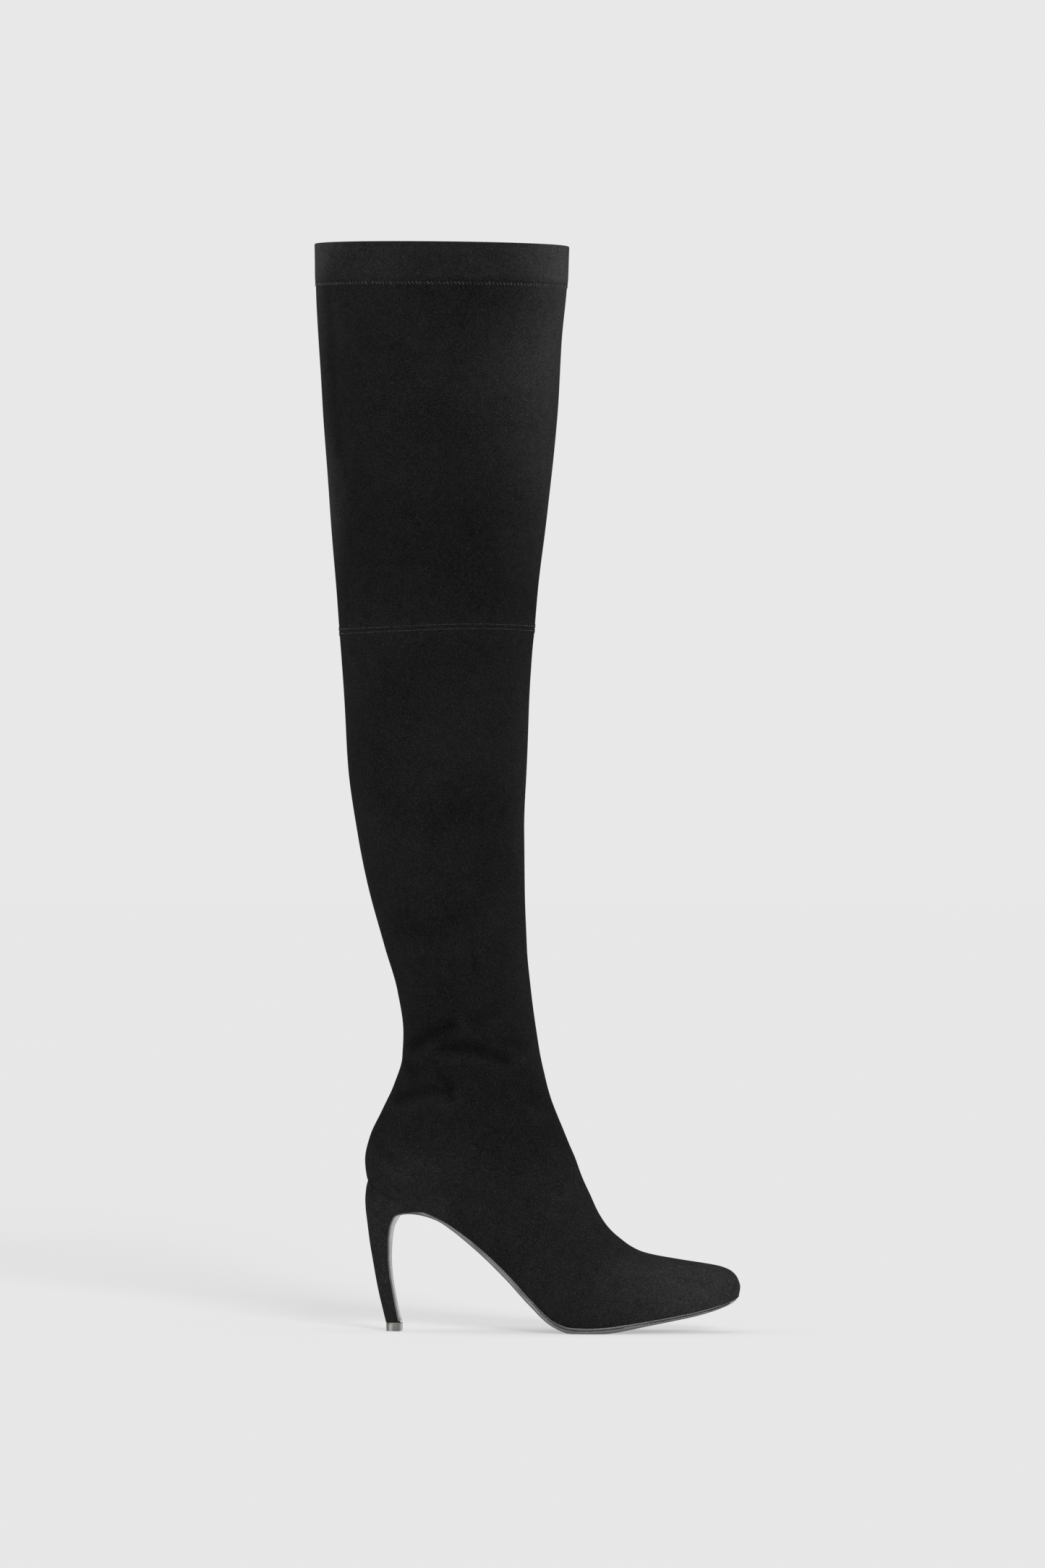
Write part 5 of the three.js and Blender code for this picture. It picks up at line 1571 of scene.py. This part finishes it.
@dataclass
class Heel:
    """The suede-covered heel and its metal tip.

    Attributes:
        form: the boot's surface.
        bottom: the outsole whose strip lies on the heel's breast.
        gap: clearance between pieces that meet; not used.
        tip_taper: how much it narrows towards the floor.
        tip_reach: how far it stands ahead of the breast.
        side_cells: cells from the back line to the front, on each side.
        rows: rings of the cover from seat to tip.
    """

    form: BootForm
    bottom: Bottom
    gap: float = 0.3
    tip_taper: float = 0.25
    tip_reach: float = 0.6
    side_cells: int = 34
    rows: int = 110

    # Painted reflection bands across the tip from back to front: share of the way and gain on the colour.
    SHINE = ((0.0, 0.65), (0.12, 0.6), (0.22, 0.85), (0.31, 1.9), (0.42, 1.6), (0.52, 0.8), (0.62, 0.75), (0.78, 0.72),
             (0.87, 0.55), (0.94, 1.0), (1.0, 1.1))

    def sections(self) -> np.ndarray:
        """Heel rows in millimetres: back x and z, front x and z, half width, slimness."""
        length, height, seat = self.form.foot_length, self.form.heel_height, self.bottom.seat_width
        return np.array([
            [row.back[0] * length, row.back[1] * height, row.front[0] * length, row.front[1] * height,
             row.half * seat, row.slim]
            for row in HEEL_ROWS
        ])

    def across(self, share: np.ndarray, section: np.ndarray) -> np.ndarray:
        """Half width at shares of the way from the back line to the front one."""
        bx, _, fx, _, half, slim = section
        line = self.form.feather_line
        seat = np.interp(line[0, 0] + (fx - bx) * share, line[:, 0], self.form.seat_half)
        seat = np.minimum(1, 2 * np.maximum(seat, 0) / self.bottom.seat_width)
        back = np.maximum(0, 1 - share / 0.62)
        corner = np.maximum(0, (share - 0.86) / 0.14)
        stem = (1 - back**2.2) ** (1 / 2.2) - 0.1 * corner**2
        return half * (seat * (1 - slim) + stem * slim)

    def front_share(self, section: np.ndarray, line: np.ndarray) -> float:
        """Share of the way to the front line at which a section meets the strip's inner face."""
        back, front = section[:2], section[2:4]
        way = front - back
        best = 1.0
        for a, b in zip(line[:-1], line[1:]):
            edge = b - a
            cross = way[0] * edge[1] - way[1] * edge[0]
            if abs(cross) < 1e-9:
                continue
            offset = a - back
            share = (offset[0] * edge[1] - offset[1] * edge[0]) / cross
            other = (offset[0] * way[1] - offset[1] * way[0]) / cross
            if -1e-6 <= other <= 1 + 1e-6 and 0.3 < share < best:
                best = share
        return best

    def build_cover(self, finish: bpy.types.Material) -> bpy.types.Object:
        """The suede cover, from under the seat down to the tip."""
        rows = self.sections()
        along = running_length(rows[:, :2])
        sections = monotone(along, rows)(np.linspace(0, along[-1], 320))
        st = self.bottom.sole_stations()
        _, down = st.directions()
        line = (st.line - down * self.bottom.gap)[:90]
        start = line[0] - (line[1] - line[0]) / np.linalg.norm(line[1] - line[0]) * 12
        line = np.vstack([start, line])
        spread = 1 - np.cos(math.pi / 2 * np.arange(self.side_cells + 1) / self.side_cells)
        grid = np.empty((len(sections), 2 * self.side_cells + 1, 3))
        for i, section in enumerate(sections):
            share = spread * self.front_share(section, line)
            half = self.across(share, section)
            x = section[0] + (section[2] - section[0]) * share
            z = section[1] + (section[3] - section[1]) * share
            side = np.stack([x, half, z], axis=1)
            grid[i] = np.concatenate([(side * [1, -1, 1])[::-1], side[1:]])
        shares = np.linspace(0, 1, self.rows)
        cover = np.empty((self.rows, grid.shape[1], 3))
        for j in range(grid.shape[1]):
            column = grid[:, j]
            over = column[:, 2] - (self.form.feather_height(column[:, 0]) - self.bottom.gap)
            last = int(np.max(np.nonzero(over > 0)[0])) if np.any(over > 0) else 0
            t = over[last] / (over[last] - over[last + 1]) if over[last] > 0 else 0
            crossing = column[last] + (column[last + 1] - column[last]) * t
            path = np.vstack([crossing, column[last + 1:]])
            travel = running_length(path)
            cover[:, j] = np.stack([np.interp(shares * travel[-1], travel, path[:, c]) for c in range(3)], axis=1)
        draft = Draft(self.form.shift)
        numbers = draft.add(cover)
        draft.skin(numbers)
        front = np.stack([numbers[:, 0], numbers[:, -1]], axis=1)
        draft.skin(front)
        cells = self.side_cells
        for row in (numbers[0], numbers[-1]):
            draft.skin(np.stack([row[: cells + 1], row[::-1][: cells + 1]], axis=1))
        # The cover's colour takes the same painted light and shade, lighter on the stem.
        return settle(draft.finish("heel_cover", finish, 35, self.form.nap), "heel_suede", "heel")

    def build_tip(self, finish: bpy.types.Material) -> bpy.types.Object:
        """The metal tip, the stem's outline carried down to the floor."""
        section = self.sections()[-1].copy()
        section[2] += self.tip_reach
        section[3] = section[1]
        spread = 1 - np.cos(math.pi / 2 * np.arange(25) / 24)
        half = self.across(spread, section)
        x = section[0] + (section[2] - section[0]) * spread
        side = np.stack([x, half], axis=1)
        ring = np.concatenate([(side * [1, -1])[::-1], side[1:]])
        front = np.linspace(ring[-1], ring[0], 9)[1:-1]
        ring = np.concatenate([ring, front])
        middle = (ring.min(axis=0) + ring.max(axis=0)) / 2
        top, bevel = section[1] - self.bottom.gap, 0.35
        levels = [(top, 0.38), (top - 0.1, 0.2), (top - 0.35, 0.1), (top - 0.9, 0.1), (top - 1.05, 0.3),
                  (top - 1.25, 0.3), (top - 1.4, 0.1), (bevel, self.tip_taper), (0.1, self.tip_taper + 0.1),
                  (0.0, self.tip_taper + bevel)]
        draft = Draft(self.form.shift)
        loops = []
        for z, inset in levels:
            out = ring - middle
            scaled = out * (1 - inset / np.linalg.norm(out, axis=1, keepdims=True))
            loops.append(draft.add(np.column_stack([middle + scaled, np.full(len(ring), z)])))
        draft.band(loops)
        draft.fan(loops[0], np.array([*middle, top]))
        draft.fan(loops[-1], np.array([*middle, 0.0]))

        def shine(places: np.ndarray) -> np.ndarray:
            """Painted reflection: light and dark bands that a curved polished cap shows from the side, and painted
            shade along its top edge.
            """
            share = (places[:, 0] - ring[:, 0].min()) / np.ptp(ring[:, 0])
            return np.interp(share, *np.array(self.SHINE).T) * (1 - 0.8 * smoothstep(places[:, 2], top - 0.7, top - 0.3))

        return settle(draft.finish("tip_cap", finish, 30, shine), "tip_metal", "heel_tip")


@dataclass
class Studio:
    """Floor, even light and camera, set up as in the photo.

    Attributes:
        form: the boot's surface.
        backdrop: brightness of the seamless ground.
        azimuth: the camera's angle round the boot, towards the toe.
        distance: from the camera to the boot.
        frame_height: height of the picture at the boot, in metres.
    """

    form: BootForm
    backdrop: float = 0.807
    azimuth: float = 6.5
    distance: float = 8.5
    frame_height: float = 0.9756

    def build_floor(self) -> None:
        """A wide pale floor that ends beyond the camera's reach."""
        reach = 30.0
        mesh = bpy.data.meshes.new("studio_floor")
        corners = [(-reach, -reach, 0), (reach, -reach, 0), (reach, reach, 0), (-reach, reach, 0)]
        mesh.from_pydata(corners, [], [(0, 1, 2, 3)])
        mesh.materials.append(StudioFloor("paper_floor").build())
        floor = bpy.data.objects.new("studio_floor", mesh)
        bpy.context.scene.collection.objects.link(floor)
        ground = bpy.data.collections.new("ground")
        ground.objects.link(floor)
        low = bpy.data.lights.new("shadow_light", "SUN")
        low.energy = 17.0
        low.angle = math.radians(14)
        lamp = bpy.data.objects.new("shadow_light", low)
        tilt, turn = math.radians(17), math.radians(19)
        travel = (-math.sin(turn) * math.cos(tilt), math.cos(turn) * math.cos(tilt), -math.sin(tilt))
        lamp.rotation_mode = "QUATERNION"
        lamp.rotation_quaternion = Vector(travel).to_track_quat("-Z", "Y")
        lamp.light_linking.receiver_collection = ground
        bpy.context.scene.collection.objects.link(lamp)

    def build_light(self, glossy: Sequence[bpy.types.Object]) -> None:
        """An even white room, one broad soft light, and strip lights for the polished parts.

        Args:
            glossy: the pieces that the strip lights shine on.
        """
        world = bpy.data.worlds.new("studio_room")
        world.use_nodes = True
        background = next(node for node in world.node_tree.nodes if node.type == "BACKGROUND")
        background.inputs["Color"].default_value = (self.backdrop,) * 3 + (1,)
        background.inputs["Strength"].default_value = 1.0
        bpy.context.scene.world = world
        broad = bpy.data.lights.new("broad_light", "SUN")
        broad.energy = 0.62
        broad.angle = math.radians(46)
        lamp = bpy.data.objects.new("broad_light", broad)
        lamp.rotation_euler = (math.radians(16), math.radians(8), 0)
        bpy.context.scene.collection.objects.link(lamp)
        strips = bpy.data.collections.new("polished_parts")
        for piece in glossy:
            strips.objects.link(piece)
        for name, place, size, power in (
            ("strip_light_side", (0.3, -1.5, 1.5), (1.6, 0.35), 16.0),
            ("strip_light_front", (1.6, -0.3, 1.1), (1.2, 0.35), 9.0),
            ("strip_light_low", (0.1, -1.8, 0.32), (2.4, 0.5), 7.0),
        ):
            light = bpy.data.lights.new(name, "AREA")
            light.shape = "RECTANGLE"
            light.size, light.size_y = size
            light.energy = power
            strip = bpy.data.objects.new(name, light)
            strip.location = place
            aim = np.array([0.05, 0.0, 0.02]) - np.array(place)
            strip.rotation_mode = "QUATERNION"
            strip.rotation_quaternion = Vector(aim.tolist()).to_track_quat("-Z", "Y")
            strip.light_linking.receiver_collection = strips
            strip.visible_camera = False
            bpy.context.scene.collection.objects.link(strip)

    def build_camera(self) -> None:
        """The camera at the photo's angle and framing."""
        angle = math.radians(self.azimuth)
        heel_back = self.form.shift * MM
        target = np.array([heel_back + 0.09795 / math.cos(angle), 0.0, 0.34065])
        back = np.array([math.sin(angle), -math.cos(angle), 0.0])
        data = bpy.data.cameras.new("photo_camera")
        data.sensor_width = 36.0
        data.lens = data.sensor_width * self.distance / self.frame_height
        data.clip_end = 200.0
        camera = bpy.data.objects.new("photo_camera", data)
        camera.location = (target + back * self.distance).tolist()
        camera.rotation_mode = "QUATERNION"
        camera.rotation_quaternion = Vector((-back).tolist()).to_track_quat("-Z", "Y")
        bpy.context.scene.collection.objects.link(camera)
        bpy.context.scene.camera = camera
        bpy.context.scene.view_settings.view_transform = "Standard"


def main() -> None:
    """Build the boot piece by piece, then the studio round it."""
    logging.basicConfig(level=logging.INFO, format="%(name)s %(message)s")
    form = BootForm()
    suede = Suede("black_suede").build()
    thread = SewingThread("black_thread").build()
    leather = PolishedLeather("polished_sole_leather").build()
    upper = Upper(form)
    upper.build_shell(suede)
    upper.build_lining(LiningCloth("stretch_lining").build())
    rows = (
        StitchRow(form, "cuff_stitches", StitchStyle.ZIGZAG, form.cuff_height, 2.4, 2.2, 0.17),
        StitchRow(form, "knee_stitches_upper", StitchStyle.STRAIGHT, form.knee_drop - 1.4, 1.12, radius=0.175, cover=0.5),
        StitchRow(form, "knee_stitches_lower", StitchStyle.STRAIGHT, form.knee_drop + 1.4, 1.12, radius=0.175, cover=0.5),
    )
    for row in rows:
        row.build(thread)
    rows[0].build_holes("cuff_needle_hole_shade", NeedleShade("needle_shade").build())
    bottom = Bottom(form)
    outsole = bottom.build_outsole(leather)
    marks = bottom.build_marks(leather)
    bottom.build_footbed(FootbedLeather("footbed_leather").build())
    heel = Heel(form, bottom)
    heel.build_cover(Suede("heel_black_suede").build())
    tip = heel.build_tip(BrushedMetal("brushed_tip").build())
    studio = Studio(form)
    studio.build_floor()
    studio.build_light([outsole, marks, tip])
    studio.build_camera()


if __name__ == "__main__":
    main()
